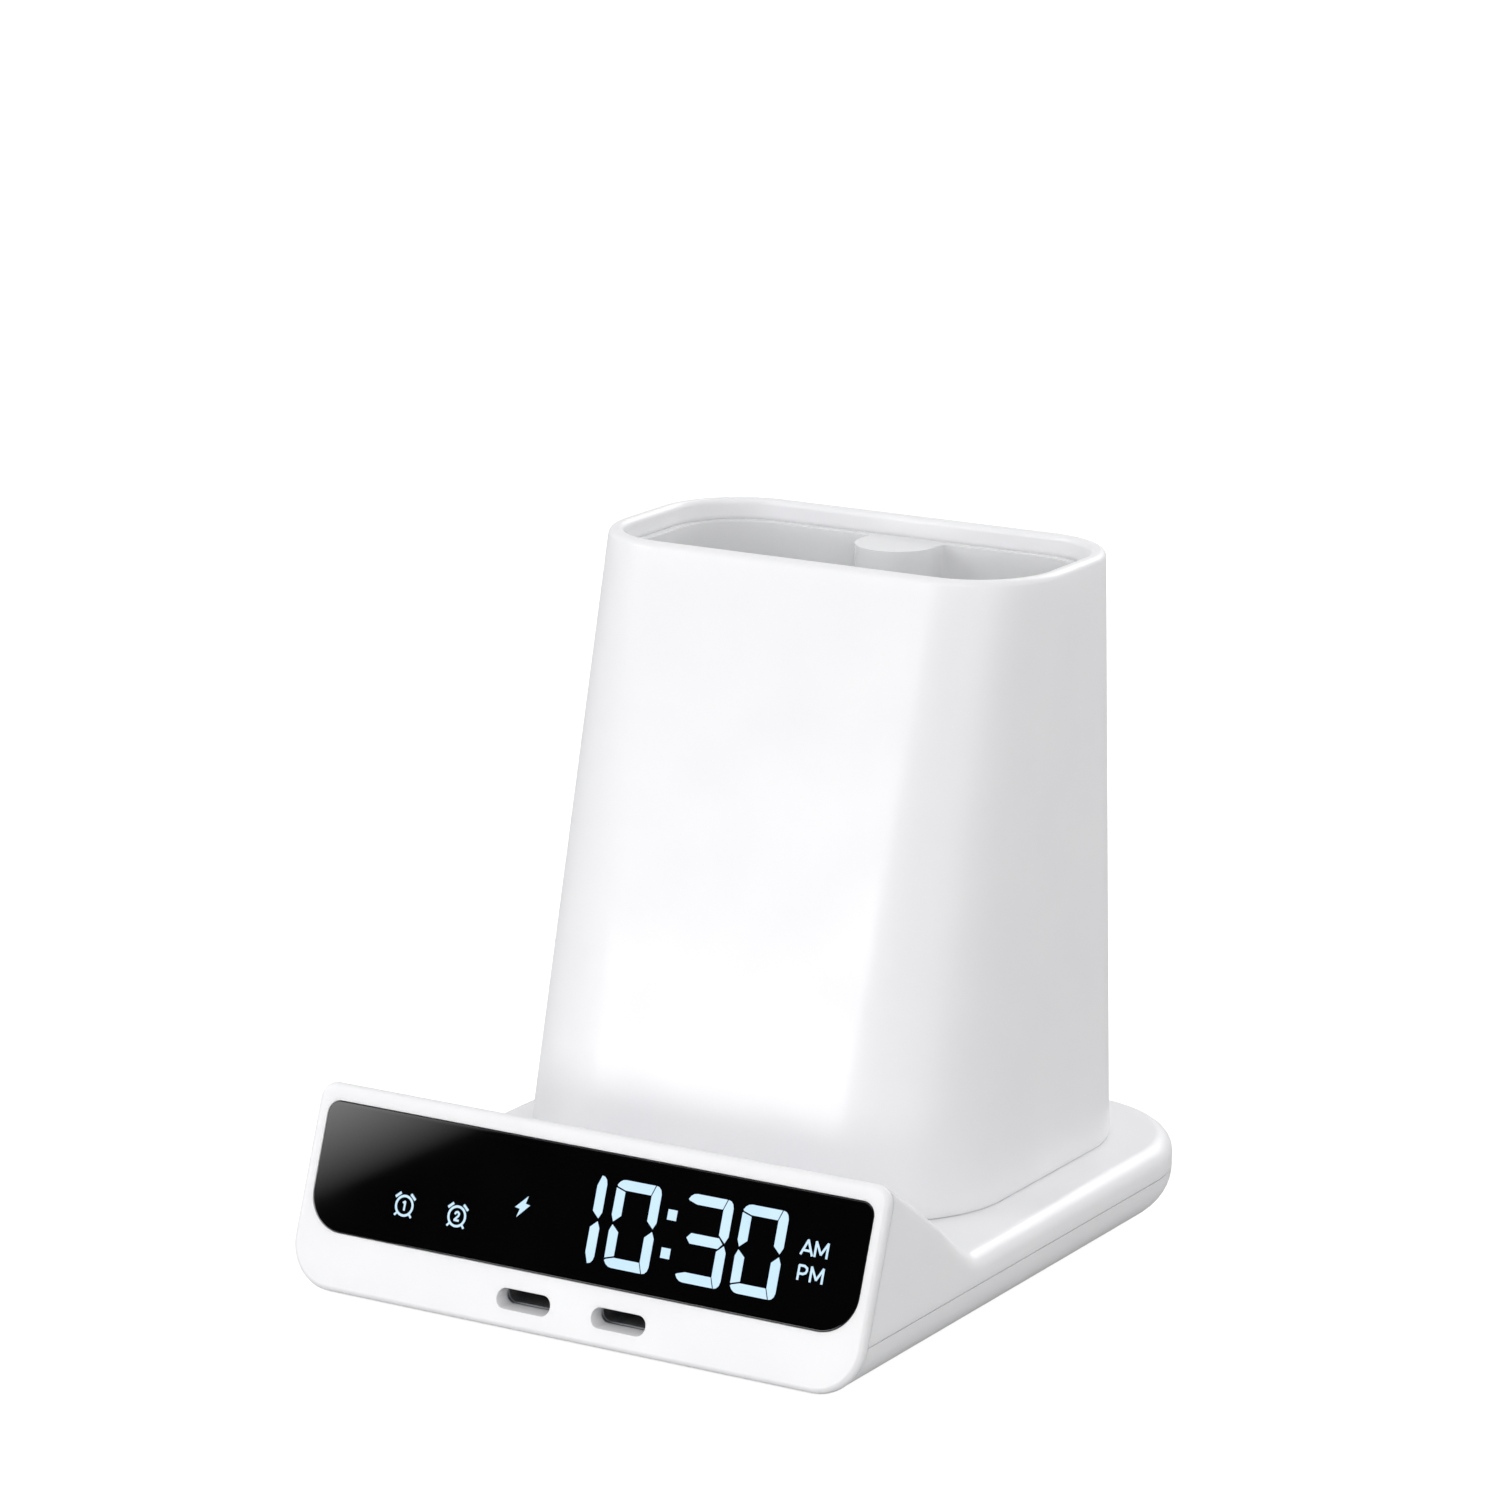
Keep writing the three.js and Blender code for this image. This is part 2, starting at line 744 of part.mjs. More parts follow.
// Rubber feet, seated in the tray's pockets
["front_left_foot", "front_right_foot", "back_left_foot", "back_right_foot"].forEach((name, at) => {
  const [x, y] = feet[at];
  const profile = [
    [0, -footProud],
    [footRadius - half(footProud), -footProud],
    [footRadius, -half(footProud)],
    [footRadius, footSink],
    [0, footSink],
  ].map(([radius, height]) => new THREE.Vector2(radius, height));
  const foot = new THREE.LatheGeometry(profile, 24).rotateX(Math.PI / 2).translate(x, y, 0);
  add(part, name, geometryOf(solid(foot)), rubberGrey);
});

// Main board, with notches for the mid-mounted inlets
const portFront = (portHeightUp + half(portHeight)) * Math.tan(faceTilt)
  + bezelThickness / Math.cos(faceTilt) + slideFit;
const portBack = portFront + portLength;
function mainBoardGeometry() {
  const plan = {
    width: mainBoardWidth,
    front: mainBoardFront,
    back: mainBoardBack,
    frontRadius: bossRadius,
    backRadius: bossRadius,
  };
  const board = loft([{ plan, height: boardLow }, { plan, height: boardTop }]);
  const notches = portPlaces().map((x) =>
    solid(
      block(
        [x - half(portWidth) - fit, 0, boardLow - overrun],
        [x + half(portWidth) + fit, portBack + fit, boardTop + overrun],
      ),
    ),
  );
  const holes = boardScrews.map(([x, y]) =>
    solid(disc(screwRadius + fit, x, y, boardLow - overrun, boardTop + overrun, 16)),
  );
  return geometryOf(cut(solid(board), ...notches, ...holes));
}
add(part, "main_board", mainBoardGeometry(), boardGreen);

// USB-C inlets: a drawn metal shell closed at its back, and the tongue inside it
["left_inlet", "right_inlet"].forEach((name, at) => {
  const x = portPlaces()[at];
  const shell = extrudeBack(obround(portWidth, portHeight), portFront, portBack);
  const room = extrudeBack(
    obround(portWidth - 2 * portWall, portHeight - 2 * portWall),
    portFront - overrun,
    portBack - portWall,
  );
  const body = geometryOf(cut(solid(shell), solid(room)));
  add(part, `${name}_shell`, body.translate(x, 0, portHeightUp), portSteel);
  const tongueBack = portBack - portWall - layerGap;
  const base = block(
    [-half(tongueWidth), tongueBack - portWall - (portLength - tongueLength - 2 * portWall) / 2,
      layerGap + portWall - half(portHeight)],
    [half(tongueWidth), tongueBack, half(portHeight) - portWall - layerGap],
  );
  const blade = block(
    [-half(tongueWidth), tongueBack - tongueLength, -half(tongueHeight)],
    [half(tongueWidth), tongueBack, half(tongueHeight)],
  );
  const tongue = geometryOf(join(solid(base), solid(blade)));
  add(part, `${name}_tongue`, tongue.translate(x, 0, portHeightUp), blackPlastic);
});

// Screws: a pan head and a plain shank, the head below or above
function screwGeometry(length, sides = 10) {
  const profile = [
    [0, -screwHeadHeight],
    [screwHeadRadius - half(screwRadius), -screwHeadHeight],
    [screwHeadRadius, -half(screwHeadHeight)],
    [screwHeadRadius, 0],
    [screwRadius, 0],
    [screwRadius, length - screwRadius],
    [half(screwRadius), length],
    [0, length],
  ].map(([radius, height]) => new THREE.Vector2(radius, height));
  return geometryOf(solid(new THREE.LatheGeometry(profile, sides).rotateX(Math.PI / 2)));
}
const screwSides = ["left", "right"];
housingScrews.forEach(([x, y], at) => {
  const name = `${at < 2 ? "front" : "back"}_${screwSides[at % 2]}_housing_screw`;
  const seat = screwHeadHeight + fit;
  add(part, name, screwGeometry(ceiling - seat - layerGap).translate(x, y, seat), steel);
});
boardScrews.slice(0, 2).forEach(([x, y], at) => {
  const down = screwGeometry(boardTop - trayWall - layerGap).rotateX(Math.PI);
  add(part, `front_${screwSides[at]}_board_screw`, down.translate(x, y, boardTop), steel);
});

// Cup shell: a tapered sleeve with a leaning front, open at both ends
function shellGeometry() {
  const outer = [{ plan: cupPlan(plateTop), height: plateTop }];
  const steps = 4;
  for (let step = 0; step <= steps; step += 1) {
    const angle = (step / steps) * (Math.PI / 2);
    const height = rimHeight - rimEdgeRadius * (1 - Math.sin(angle));
    outer.push({ plan: cupPlan(height, rimEdgeRadius * (1 - Math.cos(angle))), height });
  }
  const inner = [
    { plan: cupPlan(plateTop - overrun, cupWall), height: plateTop - overrun },
    { plan: cupPlan(rimHeight + overrun, cupWall), height: rimHeight + overrun },
  ];
  const sleeve = cut(solid(loft(outer)), solid(loft(inner)));
  const postTop = plateTop + postHeight;
  const posts = cupPosts.map(([x, y]) => solid(disc(bossRadius, x, y, plateTop, postTop)));
  const ribs = cupPosts.map(([x, y]) => {
    const back = x === 0;
    const wide = half(linerWall);
    return solid(
      back
        ? block([-wide, y, plateTop], [wide, cupFootBack, postTop])
        : block(
          [x < 0 ? half(cupWall) - half(cupFootWidth) : x, y - wide, plateTop],
          [x < 0 ? x : half(cupFootWidth) - half(cupWall), y + wide, postTop],
        ),
    );
  });
  const pilots = cupPosts.map(([x, y]) =>
    solid(disc(screwRadius + fit, x, y, plateTop - overrun, postTop - bossRadius)),
  );
  const bracketPosts = bracketScrews.map(([x, y]) =>
    solid(fromFrame(coilFrame, disc(bossRadius - fit, x, y, bracketFace + layerGap, -half(cupWall)))),
  );
  const bracketPilots = bracketScrews.map(([x, y]) =>
    solid(fromFrame(coilFrame, disc(screwRadius + fit, x, y, bracketFace - overrun, -cupWall - layerGap))),
  );
  const clear = solid(loft([
    { plan: cupPlan(plateTop, half(cupWall)), height: plateTop },
    { plan: cupPlan(rimHeight, half(cupWall)), height: rimHeight },
  ]));
  const fittings = join(...posts, ...ribs, ...bracketPosts).intersect(clear);
  return geometryOf(cut(join(sleeve, fittings), ...pilots, ...bracketPilots));
}

// Layers behind the leaning face, from the wall inward
const coilFace = -cupWall - layerGap;
const coilBack = coilFace - wireWidth;
const coilMiddle = half(coilFace + coilBack);
const ferriteBack = coilBack - layerGap - ferriteThickness;
const bracketFace = ferriteBack - layerGap;
const bracketScrews = [-1, 1].flatMap((side) =>
  [-1, 1].map((way) => [
    side * (half(bracketWidth) - bossRadius),
    way * (half(bracketHeight) - bossRadius),
  ]),
);
add(part, "cup_shell", shellGeometry(), whiteShell);
["left", "right", "back"].forEach((name, at) => {
  const [x, y] = cupPosts[at];
  const length = plateTop - ceiling + postHeight - bossRadius - layerGap;
  add(part, `${name}_cup_screw`, screwGeometry(length).translate(x, y, ceiling), steel);
});

// Liner: a drop-in bin with a hollow column up its back that clears the rear post
function linerGeometry() {
  const top = rimHeight - linerDrop;
  const upper = cupPlan(top, cupWall + slideFit);
  const lower = { ...upper, ...inset(upper, linerDraft) };
  const outer = loft([{ plan: lower, height: plateTop }, { plan: upper, height: top }]);
  const room = loft([
    { plan: inset(lower, linerWall), height: plateTop + linerFloor },
    { plan: inset(upper, linerWall), height: top + overrun },
  ]);
  const backWall = upper.back - linerDraft;
  const columnPlace = backWall + columnRadius - linerWall - columnReach;
  const column = disc(columnRadius, 0, columnPlace, plateTop, top);
  const columnWeb = block(
    [-columnRadius, columnPlace, plateTop],
    [columnRadius, backWall, top],
  );
  const bore = columnRadius - linerWall;
  const columnRoom = disc(bore, 0, columnPlace, plateTop - overrun, top - linerWall);
  const webRoom = block(
    [-bore, columnPlace, plateTop - overrun],
    [bore, baseDepth, top - linerWall],
  );
  const body = cut(solid(outer), solid(room));
  const tower = join(solid(column), solid(columnWeb)).intersect(solid(outer));
  return geometryOf(cut(join(body, tower), solid(columnRoom), solid(webRoom)));
}
add(part, "cup_liner", linerGeometry(), innerWhite);

// Charging coil: one flat spiral of wire, with its turns worked out from the pitch
function coilGeometry() {
  const stepsPerTurn = 16;
  const steps = coilTurns * stepsPerTurn;
  const centre = coilMiddle;
  const turnsInward = coilTurns * wirePitch;
  const corners = [[1, 1], [-1, 1], [-1, -1], [1, -1]];
  const positions = [];
  const index = [];
  for (let step = 0; step <= steps; step += 1) {
    const angle = (step / stepsPerTurn) * 2 * Math.PI - Math.PI / 2;
    const radius = coilOuterRadius - half(wireWidth) - turnsInward * (step / steps);
    for (const [out, up] of corners) {
      const reach = radius + half(wireWidth) * out;
      positions.push(
        reach * Math.cos(angle),
        reach * Math.sin(angle),
        centre + half(wireWidth) * up,
      );
    }
  }
  for (let step = 0; step < steps; step += 1) {
    for (let corner = 0; corner < 4; corner += 1) {
      const a = step * 4 + corner;
      const b = step * 4 + ((corner + 1) % 4);
      index.push(a, a + 4, b + 4, a, b + 4, b);
    }
  }
  const last = steps * 4;
  index.push(0, 1, 2, 0, 2, 3, last, last + 2, last + 1, last, last + 3, last + 2);
  const geometry = new THREE.BufferGeometry();
  geometry.setAttribute("position", new THREE.Float32BufferAttribute(positions, 3));
  geometry.setIndex(index);
  return geometry;
}
add(coilFrame, "charging_coil", coilGeometry(), copper);

function platePlan(width, height, radius) {
  const front = -half(height);
  return { width, front, back: -front, frontRadius: radius, backRadius: radius, steps: 3 };
}
// Ferrite: a disc with a slot down to its edge, in which the coil's inner lead lies
const coilInnerRadius = coilOuterRadius - half(wireWidth) - coilTurns * wirePitch;
const leadMiddle = ferriteBack + half(ferriteThickness);
const ferriteDisc = disc(ferriteRadius, 0, 0, ferriteBack, ferriteBack + ferriteThickness, 32);
const leadSlot = block(
  [-wireWidth, -ferriteRadius - overrun, ferriteBack - overrun],
  [wireWidth, half(wireWidth) - coilInnerRadius, 0],
);
add(coilFrame, "ferrite_disc", geometryOf(cut(solid(ferriteDisc), solid(leadSlot))), ferrite);

// Coil leads: down the inside of the leaning wall and through the plate to the main board
function leadGeometry(depth, start, side) {
  const across = side * wireWidth;
  const wallPoint = (x, y) => new THREE.Vector3(x, y, depth).applyMatrix4(coilFrame.matrix);
  const slotPlace = cupFootFront + cupFootRadius;
  const points = [
    wallPoint(0, start),
    wallPoint(0, -ferriteRadius),
    wallPoint(across, -ferriteRadius - 2 * bossRadius),
    new THREE.Vector3(across, half(slotPlace + cupFootFront) + wireWidth, plateTop + postHeight),
    new THREE.Vector3(across, slotPlace, plateTop + wireWidth),
    new THREE.Vector3(across, slotPlace, ceiling - wireWidth),
    new THREE.Vector3(across, slotPlace, boardTop + layerGap),
  ];
  const section = new THREE.Shape().absarc(0, 0, half(wireWidth) - half(fit), 0, 2 * Math.PI);
  return new THREE.ExtrudeGeometry(section, {
    extrudePath: new THREE.CatmullRomCurve3(points),
    steps: 12,
    curveSegments: 3,
  });
}
const outerStart = layerGap + wireWidth - coilOuterRadius - 2 * half(wireWidth) - layerGap;
add(part, "outer_coil_lead", leadGeometry(coilMiddle, outerStart - layerGap, -1), copper);
add(
  part,
  "inner_coil_lead",
  leadGeometry(leadMiddle, -coilInnerRadius - layerGap, 1),
  copper,
);

// Coil bracket: a plate that holds the ferrite and the coil against the cup's front wall
function bracketGeometry() {
  const plan = platePlan(bracketWidth, bracketHeight, 2 * bossRadius);
  const plate = loft([{ plan, height: bracketFace - bracketWall }, { plan, height: bracketFace }]);
  const holes = bracketScrews.map(([x, y]) =>
    solid(disc(screwRadius + fit, x, y, bracketFace - overrun, overrun, 16)),
  );
  const window = solid(disc(coilInnerRadius, 0, 0, bracketFace - overrun, overrun, 24));
  return geometryOf(cut(solid(plate), ...holes, window));
}
add(coilFrame, "coil_bracket", bracketGeometry(), innerWhite);
bracketScrews.forEach(([x, y], at) => {
  const name = `${at % 2 ? "upper" : "lower"}_${screwSides[Math.floor(at / 2)]}_bracket_screw`;
  const seat = bracketFace - bracketWall;
  const length = bracketWall + layerGap + half(bossRadius);
  add(coilFrame, name, screwGeometry(length).translate(x, y, seat), steel);
});

// Buttons: a cap through the back wall, a side switch on the board and its plunger
const switchFront = mainBoardBack - switchDepth - half(switchDepth);
const switchBack = switchFront + switchDepth;
const plungerRise = boardTop + half(switchHeight);
const buttonNames = ["set", "up", "down"];
function capGeometry() {
  const flangeBack = baseDepth - housingWall - fit;
  const pad = block(
    [-half(buttonWidth), flangeBack - flangeWall, buttonLow],
    [half(buttonWidth), baseDepth + buttonProud, buttonTop],
  );
  const flange = block(
    [-half(buttonWidth) - lipWall, flangeBack - flangeWall, seamHeight - lipWall],
    [half(buttonWidth) + lipWall, flangeBack, buttonTop],
  );
  const stem = block(
    [-half(plungerWidth), plungerBack + fit, seamHeight - lipWall],
    [half(plungerWidth), flangeBack, buttonTop],
  );
  return geometryOf(join(solid(pad), solid(flange), solid(stem)));
}
const plungerBack = switchBack + buttonTravel + slideFit;
function switchGeometry() {
  const body = block(
    [-half(switchWidth), switchFront, boardTop],
    [half(switchWidth), switchBack, boardTop + switchHeight],
  );
  const well = block(
    [-half(plungerWidth) - fit, switchFront + portWall, plungerRise - half(plungerHeight) - fit],
    [half(plungerWidth) + fit, switchBack + overrun, plungerRise + half(plungerHeight) + fit],
  );
  return geometryOf(cut(solid(body), solid(well)));
}
function plungerGeometry() {
  const reach = switchBack - half(switchDepth);
  return block(
    [-half(plungerWidth), reach, plungerRise - half(plungerHeight)],
    [half(plungerWidth), plungerBack, plungerRise + half(plungerHeight)],
  );
}
buttonNames.forEach((name, at) => {
  const x = buttonPlaces()[at];
  add(part, `${name}_button`, capGeometry().translate(x, 0, 0), whiteShell);
  add(part, `${name}_switch`, switchGeometry().translate(x, 0, 0), blackPlastic);
  add(part, `${name}_plunger`, plungerGeometry().translate(x, 0, 0), maskBlack);
});

// Parts on the main board
function buzzerGeometry() {
  const wall = housingWall;
  const profile = [
    [0, 0],
    [buzzerRadius, 0],
    [buzzerRadius, buzzerHeight],
    [half(wall), buzzerHeight],
    [half(wall), buzzerHeight - half(wall)],
    [0, buzzerHeight - half(wall)],
  ].map(([radius, height]) => new THREE.Vector2(radius, height));
  return geometryOf(solid(new THREE.LatheGeometry(profile, 24).rotateX(Math.PI / 2)));
}
const boardSide = half(mainBoardWidth) - 2 * screwHeadRadius - buzzerRadius;
const boardMiddle = half(mainBoardFront + mainBoardBack);
const buzzer = buzzerGeometry().translate(boardSide, boardMiddle + footRadius, boardTop);
add(part, "buzzer", buzzer, blackPlastic);

// A chip or inductor body with a chamfered upper edge
function packageGeometry(side, height) {
  const plan = platePlan(side, side, tightRadius);
  return loft([
    { plan, height: 0 },
    { plan, height: height - half(ferriteThickness) / 2 },
    { plan: inset(plan, half(ferriteThickness) / 2), height },
  ]);
}
const packages = [
  ["charger_chip", chipSide, chipHeight, -boardSide, boardMiddle, blackPlastic],
  ["clock_chip", clockSide, chipHeight, boardSide, boardMiddle - 2 * clockSide, blackPlastic],
  ["power_inductor", inductorSide, inductorHeight, -boardSide, boardMiddle - 2 * clockSide, ferrite],
];
for (const [name, side, height, x, y, look] of packages) {
  add(part, name, packageGeometry(side, height).translate(x, y, boardTop), look);
}

// Display ribbon: a flat strip from the back of the LED board down to the main board
function ribbonGeometry() {
  const back = ledBoardTop - boardThickness - layerGap;
  const start = new THREE.Vector3(0, ribbonRise, back).applyMatrix4(faceFrame.matrix);
  const bend = new THREE.Vector3(0, ribbonRise, back - ribbonReach).applyMatrix4(faceFrame.matrix);
  const curve = new THREE.CubicBezierCurve(
    new THREE.Vector2(start.y, start.z),
    new THREE.Vector2(bend.y, bend.z),
    new THREE.Vector2(bend.y + half(ribbonReach), bend.z),
    new THREE.Vector2(bend.y + half(ribbonReach), boardTop + fit),
  );
  const steps = 8;
  const near = [];
  const far = [];
  for (let step = 0; step <= steps; step += 1) {
    const point = curve.getPoint(step / steps);
    const tangent = curve.getTangent(step / steps);
    const normal = new THREE.Vector2(-tangent.y, tangent.x).multiplyScalar(half(ribbonWall));
    near.push(point.clone().add(normal));
    far.unshift(point.clone().sub(normal));
  }
  return extrudeAcross(new THREE.Shape([...near, ...far]), ribbonWidth);
}
add(part, "display_ribbon", geometryOf(solid(ribbonGeometry())), flexAmber);

// Stand the part on its feet, with the middle of its plan at the origin
const bounds = new THREE.Box3().setFromObject(part, true);
part.position.set(0, -half(bounds.min.y + bounds.max.y), -bounds.min.z);

export default part;
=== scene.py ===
# %% [markdown]
# # A desk pen cup with a charging face, dressed in Blender
#
# The object is a white moulded desk piece. A pen cup leans back behind a groove, with a charging coil behind
# its leaning face, and a clock shines through a black window in the tilted front. The solids come from CAD
# and stay where they are. This lesson puts finer skins on the surfaces that the eye reads first, and gives
# every piece its real finish.

# %% Tools and the frame
import json
import math

import bmesh
import bpy
from mathutils import Matrix, Vector


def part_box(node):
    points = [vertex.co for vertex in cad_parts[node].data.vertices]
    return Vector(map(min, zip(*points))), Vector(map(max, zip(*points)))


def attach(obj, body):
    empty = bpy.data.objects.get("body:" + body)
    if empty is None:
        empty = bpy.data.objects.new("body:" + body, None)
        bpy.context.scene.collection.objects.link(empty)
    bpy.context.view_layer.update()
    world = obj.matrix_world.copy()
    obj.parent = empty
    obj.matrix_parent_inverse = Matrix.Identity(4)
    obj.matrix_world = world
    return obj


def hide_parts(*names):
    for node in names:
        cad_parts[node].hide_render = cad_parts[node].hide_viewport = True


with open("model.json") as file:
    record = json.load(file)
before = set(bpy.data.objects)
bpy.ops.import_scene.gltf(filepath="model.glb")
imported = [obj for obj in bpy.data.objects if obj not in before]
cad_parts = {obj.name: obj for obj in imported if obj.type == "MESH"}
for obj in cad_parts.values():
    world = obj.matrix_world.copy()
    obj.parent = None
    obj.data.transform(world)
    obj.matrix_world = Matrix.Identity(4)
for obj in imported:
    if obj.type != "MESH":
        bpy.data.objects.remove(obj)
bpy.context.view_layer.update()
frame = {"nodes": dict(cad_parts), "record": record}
nodes = frame["nodes"]

# %% [markdown]
# ## Drawing in millimetres
#
# A maker draws this object from its front lower edge, in millimetres, so the pieces are drawn that way too
# and carried to the frame at the end. The clock face has its own sheet of paper: X across, Y up the tilted
# face, and Z out of it. Working on that sheet keeps the window, the digits and the inlets square to the
# face.

# %% The two drawing sheets
FACE_TILT = math.radians(20)
BOARD_FRONT = 6.5
FOOT_PROUD = 0.8
front_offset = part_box("main_board")[0].y - BOARD_FRONT / 1000
UPRIGHT = Matrix.Translation((0, front_offset, FOOT_PROUD / 1000)) @ Matrix.Scale(0.001, 4)
FACE = UPRIGHT @ Matrix.Rotation(math.pi / 2 - FACE_TILT, 4, "X")
print("front lower edge at y =", round(front_offset * 1000, 3), "mm")


# %% [markdown]
# ## Rounded outlines
#
# Nearly every shell here is a rounded rectangle that is drawn once and pulled into a wall. The outline
# starts as four corner points, and a vertex bevel turns each corner into a true arc. Twenty steps to a
# corner are enough for the outline to look round in a close view, where the CAD solid makes do with six.

# %% Outline helper
CORNER_STEPS = 20
# Two places closer than this count as one.
SAME = 0.0005
# An outline that is drawn inset keeps at least this radius.
LEAST_RADIUS = 0.2


def round_corners(mesh, corners, radius, steps=CORNER_STEPS):
    if radius > 0:
        bmesh.ops.bevel(
            mesh, geom=corners, offset=radius, offset_type="OFFSET", affect="VERTICES",
            segments=steps, profile=0.5, material=-1,
        )


def rounded_face(mesh, width, front, back, front_radius, back_radius, height, steps=CORNER_STEPS):
    half = width / 2
    front_pair = [mesh.verts.new((side * half, front, height)) for side in (-1, 1)]
    back_pair = [mesh.verts.new((side * half, back, height)) for side in (1, -1)]
    before = set(mesh.faces)
    mesh.faces.new(front_pair + back_pair)
    round_corners(mesh, back_pair, back_radius, steps)
    round_corners(mesh, [v for v in front_pair if v.is_valid], front_radius, steps)
    return [f for f in mesh.faces if f not in before][0]


def pull(mesh, face, way):
    """Extrude a face into a block along a direction and return the new end face."""
    made = bmesh.ops.extrude_face_region(mesh, geom=[face], use_keep_orig=True)["geom"]
    bmesh.ops.translate(mesh, vec=way, verts=[g for g in made if isinstance(g, bmesh.types.BMVert)])
    return [g for g in made if isinstance(g, bmesh.types.BMFace)][0]


def round_edges(mesh, edges, radius, steps=5):
    bmesh.ops.bevel(
        mesh, geom=list(edges), offset=radius, offset_type="OFFSET", affect="EDGES",
        segments=steps, profile=0.5, material=-1, clamp_overlap=True,
    )


# %% [markdown]
# ## From a drawing to a piece
#
# A drawn mesh becomes a piece in one place: it is carried to the frame, its normals are made to point out,
# creases over 35 degrees are kept sharp, and weighted normals keep the wide flats flat beside small
# fillets, as they are on a polished mould. Cuts such as key slots are made with booleans that are applied at
# once, so each piece ends as one plain closed mesh.

# %% Piece helpers
CREASE = math.radians(35)
FLAT_WEIGHT = 80


def object_from(mesh, name, sheet):
    bmesh.ops.transform(mesh, matrix=sheet, verts=mesh.verts)
    bmesh.ops.recalc_face_normals(mesh, faces=mesh.faces)
    data = bpy.data.meshes.new(name)
    mesh.to_mesh(data)
    mesh.free()
    piece = bpy.data.objects.new(name, data)
    bpy.context.scene.collection.objects.link(piece)
    return piece


def settle(piece):
    """Apply the live modifiers, so that the piece is a plain mesh."""
    shaped = piece.evaluated_get(bpy.context.evaluated_depsgraph_get())
    data = bpy.data.meshes.new_from_object(shaped)
    data.name = piece.name
    piece.modifiers.clear()
    piece.data = data


def cut_away(piece, *tools):
    for tool in tools:
        step = piece.modifiers.new("cut", "BOOLEAN")
        step.operation = "DIFFERENCE"
        step.solver = "MANIFOLD"
        step.object = tool
    settle(piece)
    for tool in tools:
        bpy.data.objects.remove(tool)
    return piece


def smooth(piece):
    mesh = bmesh.new()
    mesh.from_mesh(piece.data)
    for face in mesh.faces:
        face.smooth = True
    for edge in mesh.edges:
        edge.smooth = len(edge.link_faces) == 2 and edge.calc_face_angle(0) < CREASE
    mesh.to_mesh(piece.data)
    mesh.free()
    weigh = piece.modifiers.new("flat_flats", "WEIGHTED_NORMAL")
    weigh.keep_sharp = True
    weigh.weight = FLAT_WEIGHT


def dress(piece, look, body="base", stands_for=()):
    smooth(piece)
    piece.data.materials.clear()
    piece.data.materials.append(look)
    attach(piece, body)
    if stands_for:
        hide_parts(*stands_for)
    print(piece.name, "faces:", len(piece.data.polygons))


# %% [markdown]
# ## Node helpers
#
# Every finish is built from nodes that read the piece's own position, so a pattern keeps its real size in
# millimetres on any piece. One helper turns a hex colour into the linear values that the shader wants, and
# one adds a node with its settings and links. A name with an underscore stands for one with a space, and a
# number after an underscore picks a socket by its place.

# %% Colour and node helpers
def colour(code):
    values = [int(code[i : i + 2], 16) / 255 for i in (1, 3, 5)]
    return [v / 12.92 if v <= 0.04045 else ((v + 0.055) / 1.055) ** 2.4 for v in values] + [1]


def add_node(tree, kind, settings=None, **links):
    """Add a node. Settings go on it, and links are values or sockets for its inputs."""
    node = tree.nodes.new(kind)
    for name, value in (settings or {}).items():
        setattr(node, name, value)
    for name, value in links.items():
        socket = node.inputs[int(name[1:])] if name[0] == "_" else node.inputs[name.replace("_", " ")]
        if isinstance(value, bpy.types.NodeSocket):
            tree.links.new(value, socket)
        else:
            socket.default_value = value
    return node


# A Mix node of this kind blends two colours: its inputs are the share (0) and the colours (6 and 7).
BLEND = {"data_type": "RGBA"}


def new_look(name):
    look = bpy.data.materials.new(name)
    look.use_nodes = True
    look.node_tree.nodes.clear()
    place = add_node(look.node_tree, "ShaderNodeTexCoord").outputs["Object"]
    return look, look.node_tree, place


# %% [markdown]
# ## Moulded plastics
#
# The shells are injection-moulded white ABS from a polished mould: a cool white with a semi-gloss skin and an
# index of 1.54. Such a skin is never a perfect mirror, because the plastic shrinks a little as it cools,
# so a slow wave of about 9 mm bends the highlights. The same recipe, with other grains and depths, gives the
# liner's finer texture, the dark mouldings, chip resin, silicone rubber and sintered ferrite.

# %% Moulded finish
WAVE_MM = 9
WAVE_DEPTH_MM = 0.02
WAVE_STRENGTH = 0.5
ABS_INDEX = 1.54


def moulded(name, code, second, gloss, lump_mm, depth_mm, index, share_inside=0.0, inside_mm=1.5):
    look, tree, place = new_look(name)
    wave = add_node(tree, "ShaderNodeTexNoise", Vector=place, Scale=1000 / WAVE_MM, Detail=0).outputs[0]
    lumps = add_node(tree, "ShaderNodeTexNoise", Vector=place, Scale=1000 / lump_mm, Detail=1).outputs[0]
    tone = add_node(tree, "ShaderNodeMix", BLEND, _0=wave, _6=colour(code), _7=colour(second)).outputs[2]
    rough = add_node(tree, "ShaderNodeMapRange", Value=wave, To_Min=gloss[0], To_Max=gloss[1]).outputs[0]
    slow = add_node(
        tree, "ShaderNodeBump", Height=wave, Distance=WAVE_DEPTH_MM / 1000, Strength=WAVE_STRENGTH
    ).outputs[0]
    skin = add_node(tree, "ShaderNodeBump", Height=lumps, Distance=depth_mm / 1000, Normal=slow).outputs[0]
    shader = add_node(
        tree, "ShaderNodeBsdfPrincipled", Base_Color=tone, Roughness=rough, IOR=index, Normal=skin,
        Subsurface_Weight=share_inside, Subsurface_Radius=(1, 1, 1), Subsurface_Scale=inside_mm / 1000,
    )
    add_node(tree, "ShaderNodeOutputMaterial", Surface=shader.outputs[0])
    return look


